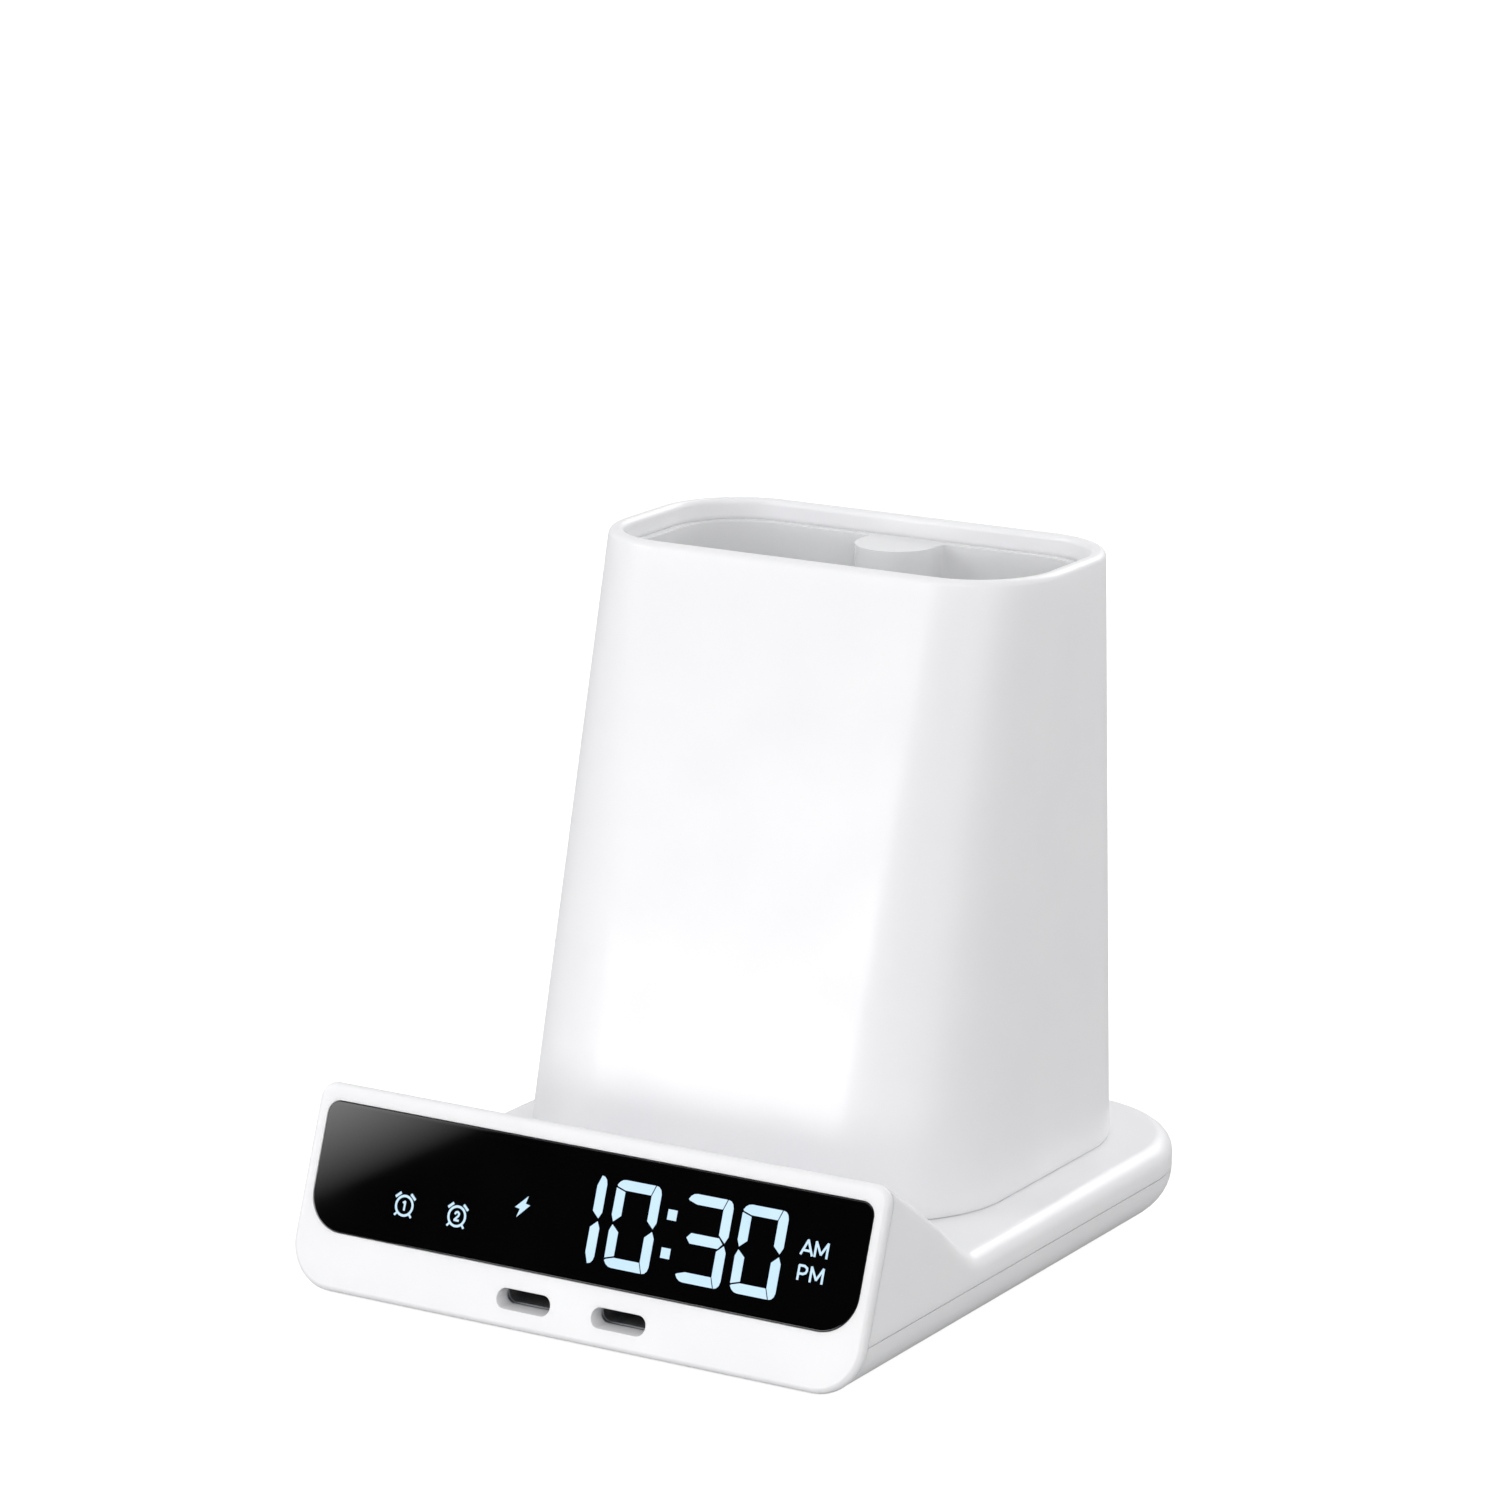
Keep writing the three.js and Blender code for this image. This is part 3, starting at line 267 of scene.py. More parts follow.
# Polished ABS looks smooth and slightly wet, with soft highlights along each rolled edge. Light goes a
# millimetre or so into it, which softens shadows and lifts the walls of small openings.
white_abs = moulded(
    "abs_white_polished", "#F5F5F7", "#F2F2F5",
    gloss=(0.29, 0.37), lump_mm=1.4, depth_mm=0.0006, index=ABS_INDEX, share_inside=0.5,
)
# The liner is a shade greyer than the cup, with a finer and slightly deeper grain under its gloss.
liner_abs = moulded(
    "abs_white_satin", "#F1F1F2", "#ECEDEE",
    gloss=(0.16, 0.26), lump_mm=1.0, depth_mm=0.001, index=ABS_INDEX, share_inside=0.3,
)
# Light baffles and switches are matte black ABS, which swallows stray light.
mask_black = moulded(
    "abs_black_matte", "#141416", "#1B1B1D", gloss=(0.5, 0.65), lump_mm=0.5, depth_mm=0.006, index=ABS_INDEX
)
# Moulding resin on chips and chokes is grainy and dull.
resin_black = moulded(
    "epoxy_resin_black", "#101012", "#1A1A1C", gloss=(0.45, 0.6), lump_mm=0.4, depth_mm=0.006, index=1.55
)
# Silicone has a soft bloom and no clear highlight.
silicone = moulded(
    "silicone_rubber_grey", "#8E9194", "#9A9DA1", gloss=(0.7, 0.85), lump_mm=0.6, depth_mm=0.01, index=1.41
)
# Sintered ferrite is dark, hard and faintly pitted.
ferrite_grey = moulded(
    "ferrite_sintered", "#2A2C2F", "#474A4D", gloss=(0.5, 0.75), lump_mm=0.4, depth_mm=0.02, index=2.0
)
# Polyimide film is a clear amber with a glossy face.
polyimide = moulded(
    "polyimide_amber", "#B06C1E", "#C4822E", gloss=(0.18, 0.3), lump_mm=3, depth_mm=0.002, index=1.7
)
print("moulded finishes ready")


# %% [markdown]
# ## Window and light
#
# The window is clear acrylic printed black on its back, so the eye meets a polished face, index 1.49, over
# deep black, with the faintest slow haze. The figures are gaps in that print with a lit mask behind them:
# an even ice blue that glows without shading, which an emission gives. Its evenness varies by a few per
# cent, because one lamp sits behind each bar.

# %% Window and light finishes
ACRYLIC_INDEX = 1.49
HAZE_MM = 12
POOL_MM = 5
GLOW = 0.97


def printed_acrylic():
    look, tree, place = new_look("acrylic_black_printed")
    haze = add_node(tree, "ShaderNodeTexNoise", Vector=place, Scale=1000 / HAZE_MM, Detail=1).outputs[0]
    rough = add_node(tree, "ShaderNodeMapRange", Value=haze, To_Min=0.01, To_Max=0.03).outputs[0]
    ink = add_node(
        tree, "ShaderNodeMix", BLEND, _0=haze, _6=colour("#020203"), _7=colour("#040405")
    ).outputs[2]
    shader = add_node(tree, "ShaderNodeBsdfPrincipled", Base_Color=ink, Roughness=rough, IOR=ACRYLIC_INDEX)
    add_node(tree, "ShaderNodeOutputMaterial", Surface=shader.outputs[0])
    return look


def lit_mask():
    look, tree, place = new_look("lit_mask_ice_blue")
    pool = add_node(tree, "ShaderNodeTexNoise", Vector=place, Scale=1000 / POOL_MM, Detail=0).outputs[0]
    glow = add_node(
        tree, "ShaderNodeMix", BLEND, _0=pool, _6=colour("#BFE2F9"), _7=colour("#CDEBFE")
    ).outputs[2]
    shader = add_node(
        tree, "ShaderNodeBsdfPrincipled", Base_Color=colour("#05080A"), Roughness=0.3, IOR=ACRYLIC_INDEX,
        Emission_Color=glow, Emission_Strength=GLOW,
    )
    add_node(tree, "ShaderNodeOutputMaterial", Surface=shader.outputs[0])
    return look


window_black = printed_acrylic()
lit_blue = lit_mask()
print("window and light ready")


# %% [markdown]
# ## Metals
#
# The inlets are deep-drawn stainless steel, with fine lines along the draw. The screws are zinc-plated
# steel, a little cloudy. The contacts are flash gold, and the coil is copper wire under clear enamel.
# Metals keep the shader's own index, because their colour comes from the base colour. The draw lines are
# really finer than 0.05 mm and are drawn at 0.3 mm, so that they show.

# %% Metal finish
def metal(name, code, second, gloss, grain_mm, stretch=(1, 1, 1), depth_mm=0.002):
    look, tree, place = new_look(name)
    along = add_node(tree, "ShaderNodeMapping", Vector=place, Scale=stretch).outputs[0]
    grain = add_node(tree, "ShaderNodeTexNoise", Vector=along, Scale=1000 / grain_mm, Detail=2).outputs[0]
    tone = add_node(tree, "ShaderNodeMix", BLEND, _0=grain, _6=colour(code), _7=colour(second)).outputs[2]
    rough = add_node(tree, "ShaderNodeMapRange", Value=grain, To_Min=gloss[0], To_Max=gloss[1]).outputs[0]
    skin = add_node(tree, "ShaderNodeBump", Height=grain, Distance=depth_mm / 1000).outputs[0]
    shader = add_node(
        tree, "ShaderNodeBsdfPrincipled", Base_Color=tone, Metallic=1, Roughness=rough, Normal=skin
    )
    add_node(tree, "ShaderNodeOutputMaterial", Surface=shader.outputs[0])
    return look


inlet_steel = metal(
    "stainless_steel_drawn", "#BCBFC3", "#D0D3D6", gloss=(0.36, 0.5), grain_mm=0.3, stretch=(1, 0.05, 1)
)
zinc_steel = metal("steel_zinc_plated", "#B2B6BA", "#C4C7CB", gloss=(0.2, 0.42), grain_mm=1.2)
contact_gold = metal("gold_flash_contacts", "#D2AA52", "#DDBA68", gloss=(0.2, 0.3), grain_mm=0.6)
coil_copper = metal(
    "copper_wire_enamelled", "#AE5A28", "#BE6A33", gloss=(0.2, 0.32), grain_mm=1.0, depth_mm=0.004
)
print("metals ready")


# %% [markdown]
# ## Circuit board
#
# A board is glass epoxy under green solder mask. Copper tracks raise the mask and lighten it, so a brick
# pattern of 6 mm by 1.5 mm stands for them: its joints are the tracks, and its rows the grid that a layout
# keeps to.

# %% Board finish, and a finish for each solid
# One unit of the track pattern, and the length, spacing and width of its tracks as shares of that unit.
TRACK_UNIT_MM = 12
TRACK_LENGTH, TRACK_SPACING, TRACK_WIDTH = 0.5, 0.125, 0.012
TRACK_RISE_MM = 0.03
SHINE_MM = 2


def solder_mask():
    look, tree, place = new_look("glass_epoxy_green_mask")
    tracks = add_node(
        tree, "ShaderNodeTexBrick", Vector=place, Scale=1000 / TRACK_UNIT_MM, Brick_Width=TRACK_LENGTH,
        Row_Height=TRACK_SPACING, Mortar_Size=TRACK_WIDTH,
        Color1=colour("#1B663C"), Color2=colour("#175A36"), Mortar=colour("#2E8A55"),
    )
    shine = add_node(tree, "ShaderNodeTexNoise", Vector=place, Scale=1000 / SHINE_MM, Detail=1).outputs[0]
    rough = add_node(tree, "ShaderNodeMapRange", Value=shine, To_Min=0.25, To_Max=0.4).outputs[0]
    raised = add_node(
        tree, "ShaderNodeBump", Height=tracks.outputs["Fac"], Distance=TRACK_RISE_MM / 1000
    ).outputs[0]
    shader = add_node(
        tree, "ShaderNodeBsdfPrincipled", Base_Color=tracks.outputs["Color"], IOR=1.5, Roughness=rough,
        Normal=raised,
    )
    add_node(tree, "ShaderNodeOutputMaterial", Surface=shader.outputs[0])
    return look


FINISHES = {
    "white_shell": white_abs, "inner_white": liner_abs, "black_gloss": window_black,
    "mask_black": mask_black, "board_green": solder_mask(), "screw_steel": zinc_steel,
    "port_steel": inlet_steel, "black_plastic": resin_black, "copper_wire": coil_copper,
    "ferrite": ferrite_grey, "grey_rubber": silicone, "flex_film": polyimide,
}
for part in frame["record"]["subparts"]:
    solid = nodes[part["node"]]
    solid.data.materials.clear()
    solid.data.materials.append(FINISHES[part["material_slot"]])
print("finishes:", len(FINISHES), "on", len(nodes), "solids")

# %% [markdown]
# ## Pen cup
#
# The cup is one sleeve with a leaning front: a wide rounded outline at the foot and a narrower one at the
# rim. Four outlines, two outside and two inside, are bridged into a closed wall, and the rim's two edges
# are then rolled over, which gives the thick soft lip that catches the light.

# %% Cup sizes and sleeve
PLATE_TOP = 10.8
RIM = 98.2
WALL = 2.3
RIM_ROLL = 0.9
FOOT_BREAK = 0.25
FOOT_PLAN = dict(width=76, front=36.7, back=102.5, radius=19)
RIM_PLAN = dict(width=72.8, front=60.3, back=97.6, radius=13.6)


def cup_plan(height, inset=0):
    share = (height - PLATE_TOP) / (RIM - PLATE_TOP)
    plan = {key: FOOT_PLAN[key] + (RIM_PLAN[key] - FOOT_PLAN[key]) * share for key in FOOT_PLAN}
    return dict(
        width=plan["width"] - 2 * inset, front=plan["front"] + inset, back=plan["back"] - inset,
        radius=max(plan["radius"] - inset, LEAST_RADIUS),
    )


def plan_ring(mesh, plan, height):
    """The edges of a rounded outline, with no face inside."""
    face = rounded_face(
        mesh, plan["width"], plan["front"], plan["back"], plan["radius"], plan["radius"], height
    )
    edges = list(face.edges)
    bmesh.ops.delete(mesh, geom=[face], context="FACES_ONLY")
    return edges


def sleeve(levels):
    """Bridge closed rings one after another, and the last to the first."""
    mesh = bmesh.new()
    rings = [plan_ring(mesh, plan, height) for plan, height in levels]
    for ring, following in zip(rings, rings[1:] + rings[:1]):
        bmesh.ops.bridge_loops(mesh, edges=ring + following)
    return mesh, rings


cup, rings = sleeve([
    (cup_plan(PLATE_TOP), PLATE_TOP),
    (cup_plan(RIM), RIM),
    (cup_plan(RIM, WALL), RIM),
    (cup_plan(PLATE_TOP, WALL), PLATE_TOP),
])
round_edges(cup, rings[1] + rings[2], RIM_ROLL, steps=6)
round_edges(cup, [e for e in rings[0] if e.is_valid], FOOT_BREAK, steps=2)
dress(object_from(cup, "pen_cup", UPRIGHT), white_abs, stands_for=["cup_shell"])

# %% [markdown]
# ## Cup liner
#
# A second moulding drops into the cup and makes the bin. Its top lies three millimetres below the rim, so a
# step shows all round inside, and a round column at the back hides the screw post. The wall's outline with
# the column in it is drawn flat, filled as a ring and pulled down, and its upper edges are broken.

# %% Liner
LINER_DROP = 3
LINER_TOP = RIM - LINER_DROP
LINER_GAP = 0.25
LINER_WALL = 1.4
LINER_FLOOR = 1.6
MOUTH_BREAK = 0.35
FLOOR_ROLL = 1.2
COLUMN_RADIUS = 6.2
COLUMN_FRONT = 84.8
COLUMN_FILLET = 0.8
# The column's arcs stop this short of meeting, so that no edge between them shrinks to nothing.
COLUMN_SPARE = 0.05


def liner_mesh():
    mesh = bmesh.new()
    plan = cup_plan(LINER_TOP, WALL + LINER_GAP)
    outer = rounded_face(
        mesh, plan["width"], plan["front"], plan["back"], plan["radius"], plan["radius"], LINER_TOP
    )
    inside = cup_plan(LINER_TOP, WALL + LINER_GAP + LINER_WALL)
    half, near, far, radius = inside["width"] / 2, inside["front"], inside["back"], inside["radius"]
    path = [(-half, near), (half, near), (half, far), (COLUMN_RADIUS, far), (COLUMN_RADIUS, COLUMN_FRONT),
            (-COLUMN_RADIUS, COLUMN_FRONT), (-COLUMN_RADIUS, far), (-half, far)]
    points = [mesh.verts.new((x, y, LINER_TOP)) for x, y in path]
    mesh.faces.new(points)
    round_corners(mesh, [points[i] for i in (0, 1, 2, 7)], radius)
    round_corners(mesh, [points[i] for i in (4, 5)], COLUMN_RADIUS - COLUMN_SPARE, steps=16)
    round_corners(mesh, [points[i] for i in (3, 6)], COLUMN_FILLET, steps=4)
    bin_face = [f for f in mesh.faces if f is not outer][0]
    rim_edges = list(outer.edges)
    mouth = list(bin_face.edges)
    floor = pull(mesh, bin_face, (0, 0, PLATE_TOP + LINER_FLOOR - LINER_TOP))
    pull(mesh, outer, (0, 0, PLATE_TOP - LINER_TOP))
    for loop in (rim_edges, mouth):
        lids = [f for f in mesh.faces if all(e in loop for e in f.edges)]
        bmesh.ops.delete(mesh, geom=lids, context="FACES_ONLY")
    bmesh.ops.triangle_fill(mesh, use_beauty=True, edges=rim_edges + mouth, normal=(0, 0, 1))
    round_edges(mesh, [e for e in mouth if e.is_valid], MOUTH_BREAK, steps=3)
    round_edges(mesh, list(floor.edges), FLOOR_ROLL, steps=4)
    return mesh


dress(object_from(liner_mesh(), "bin_liner", UPRIGHT), liner_abs, stands_for=["cup_liner"])

# %% [markdown]
# ## Base housing
#
# The upper half of the base is a low plate that rises at the front into the clock block. Its side view is
# drawn once and pulled across. The back corners are rounded and the valley behind the clock block is
# filleted. A weighted bevel then rolls the plate's upper edge wide and leaves the slope's edge crisp. The
# slope's edge is cut into short lengths, so that one can open into the other over a few millimetres, as the
# photo shows.

# %% Base sizes and the side view
WIDTH = 93.0
DEPTH = 108.5
BACK_RADIUS = 22.0
BACK_STEPS = 28
HOUSING_WALL = 2
SEAM = 6.4
SEAM_GAP = 0.14
SLOPE = math.radians(34.6)
SLOPE_FOOT = 33.6
VALLEY = 4.0
PLATE_EDGE = 2.6
SLOPE_EDGE = 1.0
OPENING = 7.0
OPENING_START = SLOPE_FOOT - 3 * VALLEY * math.tan(SLOPE / 2) - OPENING
SLOPE_CUTS = 60
OVERRUN = 5.0
BEZEL_HEIGHT = 29.1
BEZEL_THICK = 2.6
BEZEL_FLANGE = 1.3
BEZEL_STEP = 2.2
BEZEL_RADIUS = 7.0
BEZEL_TOP_RADIUS = 2.6
STEP_GAP = 0.2
ROOM_SPARE = 0.5
SEAT = 0.05


def front_cuts():
    """What is in front of the base's end plane, and the room for the step of the bezel's back."""
    mesh = bmesh.new()
    face = rounded_face(mesh, 2 * WIDTH, -WIDTH, WIDTH, 0, 0, -BEZEL_FLANGE - SEAT)
    pull(mesh, face, (0, 0, WIDTH))
    room = bmesh.new()
    edge = BEZEL_STEP - STEP_GAP
    face = rounded_face(
        room, WIDTH - 2 * edge, edge, BEZEL_HEIGHT - edge, BEZEL_RADIUS - edge, BEZEL_TOP_RADIUS - edge,
        -BEZEL_THICK - STEP_GAP,
    )
    pull(room, face, (0, 0, BEZEL_THICK - BEZEL_FLANGE + ROOM_SPARE))
    return object_from(mesh, "front_block", FACE), object_from(room, "bezel_room", FACE)


def housing_mesh(inset=0, low=SEAM + SEAM_GAP / 2):
    """The side view pulled across, or the core that hollows it when inset by the wall."""
    mesh = bmesh.new()
    half, back, top = WIDTH / 2 - inset, DEPTH - inset, PLATE_TOP - inset
    foot = SLOPE_FOOT - inset * math.tan(SLOPE / 2)
    ridge = top + (foot + OVERRUN) * math.tan(SLOPE)
    side = [(-OVERRUN, low), (-OVERRUN, ridge), (foot, top), (back, top), (back, low)]
    points = [mesh.verts.new((-half, y, z)) for y, z in side]
    pull(mesh, mesh.faces.new(points), (2 * half, 0, 0))
    uprights = [e for e in mesh.edges if all(abs(v.co.y - back) < SAME for v in e.verts)
                and abs(e.verts[0].co.z - e.verts[1].co.z) > 1]
    round_edges(mesh, uprights, BACK_RADIUS - inset, BACK_STEPS)
    valley = [e for e in mesh.edges if all(abs(v.co.y - foot) < SAME for v in e.verts)]
    round_edges(mesh, valley, (VALLEY + inset) * math.tan(SLOPE / 2), steps=8)
    return mesh


def weigh_edges(mesh):
    """Bevel weights: wide on the plate, crisp on the slope, and a soft change above the valley."""
    long_edges = [e for e in mesh.edges if e.verts[0].co.x == e.verts[1].co.x
                  and min(v.co.y for v in e.verts) < -1 and min(v.co.z for v in e.verts) > PLATE_TOP]
    bmesh.ops.subdivide_edges(mesh, edges=long_edges, cuts=SLOPE_CUTS)
    weight = mesh.edges.layers.float.new("bevel_weight_edge")
    for edge in mesh.edges:
        top = [f for f in edge.link_faces if f.normal.z > 0.5]
        side = [f for f in edge.link_faces if abs(f.normal.z) < SAME and f.normal.y > -0.5]
        if len(top) == 1 and len(side) == 1:
            place = (edge.verts[0].co.y + edge.verts[1].co.y) / 2
            share = min(max((place - OPENING_START) / OPENING, 0), 1)
            share = share * share * (3 - 2 * share)
            edge[weight] = (SLOPE_EDGE + (PLATE_EDGE - SLOPE_EDGE) * share) / PLATE_EDGE


housing = housing_mesh()
bmesh.ops.recalc_face_normals(housing, faces=housing.faces)
weigh_edges(housing)
housing = object_from(housing, "base_housing", UPRIGHT)
print("housing side view pulled, faces:", len(housing.data.polygons))

# %% [markdown]
# A mould makes the inside with a core, and so does this shell: the same side view, inset by the 2 mm wall,
# is taken out of it. The clock block is cut back to the plane behind the bezel's flange, with room for the
# step of its back, and the back wall is cut for the three keys. A slot runs on below the housing's edge, so
# it is open at the seam.

# %% Housing wall and cuts
KEY_PITCH = 14.0
KEY_WIDTH = 8.0
KEY_LOW = 6.65
KEY_TOP = 8.85
KEY_GAP = 0.25
KEY_SLOT_CORNER = 0.5
KEY_SLOT_BELOW = 2
KEY_SLOT_DEPTH = 4


def key_slot(place):
    mesh = bmesh.new()
    half = KEY_WIDTH / 2 + KEY_GAP
    low, high = KEY_LOW - KEY_SLOT_BELOW, KEY_TOP + KEY_GAP
    corners = [(place - half, low), (place + half, low), (place + half, high), (place - half, high)]
    points = [mesh.verts.new((x, DEPTH - KEY_SLOT_DEPTH, z)) for x, z in corners]
    mesh.faces.new(points)
    round_corners(mesh, points[2:], KEY_SLOT_CORNER, steps=5)
    pull(mesh, mesh.faces[:][0], (0, 2 * KEY_SLOT_DEPTH, 0))
    return object_from(mesh, "key_slot", UPRIGHT)


rolled = housing.modifiers.new("edges", "BEVEL")
rolled.limit_method = "WEIGHT"
rolled.width = PLATE_EDGE / 1000
rolled.segments = 6
rolled.offset_type = "OFFSET"
rolled.use_clamp_overlap = False
settle(housing)
core = object_from(housing_mesh(HOUSING_WALL, 0), "housing_core", UPRIGHT)
cut_away(housing, core, *front_cuts(), *[key_slot(x) for x in (-KEY_PITCH, 0, KEY_PITCH)])
dress(housing, white_abs, stands_for=["top_housing"])

# %% [markdown]
# ## Base tray
#
# The lower half curves under in a quarter round, so the base seems to float. Its outline is pulled down
# from the seam, the lower edge is rolled over, and the wall is thickened. Below, it is cut for the feet and
# the screws.

# %% Tray
FEET = [(-33, 12.6), (33, 12.6), (-33, 91.5), (33, 91.5)]
SCREWS = [(-35.5, 30.6), (35.5, 30.6), (-34.5, 78.5), (34.5, 78.5)]
TRAY_WALL = 1.5
TRAY_ROLL = 6.1
FOOT_HOLE = 5.15
FOOT_RECESS = 0.7
SCREW_HOLE = 2.15
PEG_REACH = 5


def peg(x, y, radius, low, high, steps=48):
    """A plain round cutter."""
    mesh = bmesh.new()
    bmesh.ops.create_cone(
        mesh, cap_ends=True, cap_tris=False, segments=steps, radius1=radius, radius2=radius, depth=high - low,
        matrix=Matrix.Translation((x, y, (low + high) / 2)),
    )
    return object_from(mesh, "peg", UPRIGHT)


def tray_mesh():
    mesh = bmesh.new()
    high = SEAM - SEAM_GAP / 2
    top = rounded_face(mesh, WIDTH, -OVERRUN, DEPTH, 0, BACK_RADIUS, high, BACK_STEPS)
    base = pull(mesh, top, (0, 0, -high))
    lower = [e for e in base.edges if not all(v.co.y < 0 for v in e.verts)]
    bmesh.ops.delete(mesh, geom=[top], context="FACES_ONLY")
    round_edges(mesh, lower, TRAY_ROLL, steps=12)
    front = [f for f in mesh.faces if all(abs(v.co.y + OVERRUN) < SAME for v in f.verts)]
    bmesh.ops.delete(mesh, geom=front, context="FACES")
    return mesh


tray = object_from(tray_mesh(), "base_tray", UPRIGHT)
skin = tray.modifiers.new("wall", "SOLIDIFY")
skin.thickness = TRAY_WALL / 1000
skin.offset = -1
settle(tray)
foot_holes = [peg(x, y, FOOT_HOLE, -PEG_REACH, FOOT_RECESS) for x, y in FEET]
screw_holes = [peg(x, y, SCREW_HOLE, -PEG_REACH, PEG_REACH) for x, y in SCREWS]
cut_away(tray, *front_cuts(), *foot_holes, *screw_holes)
dress(tray, white_abs, stands_for=["bottom_tray"])

# %% [markdown]
# ## Front bezel
#
# The bezel is a separate plate with larger radii at its lower corners and a soft rolled edge, so it reads
# as a frame in front of the darker side. Only its thin flange shows there: behind that the plate steps in
# and seats inside the two shells. The window opening is stepped for the lens, and the two inlets are cut
# level with the desk and not square to the face, which is why their floors show from above.

# %% Bezel
WINDOW = dict(width=89.2, front=8.2, back=26.6, low_radius=5.6, high_radius=2.0)
INLETS = (-7.1, 8.4)
INLET_UP_FACE = 4.05
INLET_RISE = INLET_UP_FACE * math.cos(FACE_TILT)
SLOT_WIDTH = 8.8
SLOT_HEIGHT = 2.75
SLOT_START = -4
SLOT_LENGTH = 12
SLOT_SPARE = 0.01
FRONT_ROLL = 0.8
BACK_BREAK = 0.1
POCKET_DEPTH = 1.7
LENS_SHOULDER = 1.5
THROUGH = 5


def window_block(inset, low, high):
    mesh = bmesh.new()
    face = rounded_face(
        mesh, WINDOW["width"] - 2 * inset, WINDOW["front"] + inset, WINDOW["back"] - inset,
        WINDOW["low_radius"] - inset, max(WINDOW["high_radius"] - inset, LEAST_RADIUS), low,
    )
    pull(mesh, face, (0, 0, high - low))
    return mesh


def obround_face(mesh, x, z, width, height, y):
    """A slot's outline. Its ends stop a hair short of half round, so that no edge shrinks to nothing."""
    half = width / 2
    points = [mesh.verts.new((x + a, y, z + b)) for a, b in
              [(-half, -height / 2), (half, -height / 2), (half, height / 2), (-half, height / 2)]]
    mesh.faces.new(points)
    round_corners(mesh, points, height / 2 - SLOT_SPARE, steps=8)
    return [f for f in mesh.faces if all(abs(v.co.y - y) < SAME for v in f.verts)][0]


def inlet_slot(x):
    mesh = bmesh.new()
    face = obround_face(mesh, x, INLET_RISE, SLOT_WIDTH, SLOT_HEIGHT, SLOT_START)
    pull(mesh, face, (0, SLOT_LENGTH, 0))
    return object_from(mesh, "inlet_slot", UPRIGHT)


def bezel_mesh():
    mesh = bmesh.new()
    face = rounded_face(mesh, WIDTH, 0, BEZEL_HEIGHT, BEZEL_RADIUS, BEZEL_TOP_RADIUS, -BEZEL_FLANGE)
    front = pull(mesh, face, (0, 0, BEZEL_FLANGE))
    round_edges(mesh, list(front.edges), FRONT_ROLL, steps=6)
    round_edges(mesh, [e for e in face.edges if e.is_valid], BACK_BREAK, steps=2)
    back = [f for f in mesh.faces if all(v.co.z < SAME - BEZEL_FLANGE for v in f.verts)][0]
    bmesh.ops.inset_region(mesh, faces=[back], thickness=BEZEL_STEP, use_even_offset=True)
    pull(mesh, back, (0, 0, BEZEL_FLANGE - BEZEL_THICK))
    bmesh.ops.delete(mesh, geom=[back], context="FACES_ONLY")
    return mesh


bezel = object_from(bezel_mesh(), "clock_bezel", FACE)
cut_away(
    bezel,
    object_from(window_block(0, -POCKET_DEPTH, THROUGH), "window_pocket", FACE),
    object_from(window_block(LENS_SHOULDER, -THROUGH, THROUGH), "window_opening", FACE),
    *[inlet_slot(x) for x in INLETS],
)
dress(bezel, white_abs, stands_for=["front_bezel"])

# %% [markdown]
# ## Window
#
# The lens lies flush in the bezel, a hair smaller than its pocket, with a tiny chamfer that keeps a dark line
# around it.

# %% Lens
LENS_GAP = 0.12
LENS_THICK = 1.6
LENS_EDGE = 0.12


def lens_mesh():
    mesh = window_block(LENS_GAP, -LENS_THICK, 0)
    top = [f for f in mesh.faces if all(abs(v.co.z) < SAME for v in f.verts)][0]
    round_edges(mesh, list(top.edges), LENS_EDGE, steps=2)
    return mesh


window = object_from(lens_mesh(), "clock_window", FACE)
dress(window, window_black, stands_for=["display_window"])

# %% [markdown]
# ## Figures
#
# A clock module of this kind has bars with mitred ends, so the corners of a figure look whole and a fine
# dark line parts one bar from the next. Each bar is drawn as the few points of its outline, and the lower
# half of a figure is the upper half turned over. The shapes are pulled up by a hair over the lens.

# %% Bars of a figure
FIGURE_RISE = 17.15
FIGURE_WIDTH = 7.25
LIT_SKIN = 0.02
UPPER_BARS = {
    "top": [(1.35, 6.08), (6.1, 6.08), (5.58, 4.66), (1.5, 4.66),
            (0.26, 5.03), (0.08, 5.2), (0.4, 5.68), (0.85, 5.98)],
    "right": [(6.27, 6.08), (6.72, 5.96), (7.06, 5.6), (7.23, 5.0),
              (7.23, 1.1), (6.77, 0.2), (5.72, 1.13), (5.72, 4.62)],
    "left": [(0.04, 4.86), (1.5, 4.43), (1.5, 1.13), (0.39, 0.2), (0.0, 1.1)],
}
MIDDLE_BAR = [(0.76, 0), (1.4, 0.72), (5.83, 0.72), (6.48, 0), (5.83, -0.72), (1.4, -0.72)]
ROUND = ("top", "right", "left")
# Each figure's middle, its bars above and below the middle line, and whether it has the middle bar.
FIGURES = [
    (-0.8, ("right",), False), (8.0, ROUND, False), (19.5, ("top", "right"), True), (28.2, ROUND, False),
]
COLON_SIDES = (13.1, 14.55)
COLON_RISES = (14.48, 19.75)
DOT_HALF = 0.72


def flat_shape(mesh, points):
    face = mesh.faces.new([mesh.verts.new((x, y, 0.0)) for x, y in points])
    pull(mesh, face, (0, 0, LIT_SKIN))


def figure(mesh, middle, bars, middle_bar):
    left = middle - FIGURE_WIDTH / 2
    for way in (1, -1):
        for name in bars:
            flat_shape(mesh, [(left + x, FIGURE_RISE + way * y) for x, y in UPPER_BARS[name]])
    if middle_bar:
        flat_shape(mesh, [(left + x, FIGURE_RISE + y) for x, y in MIDDLE_BAR])


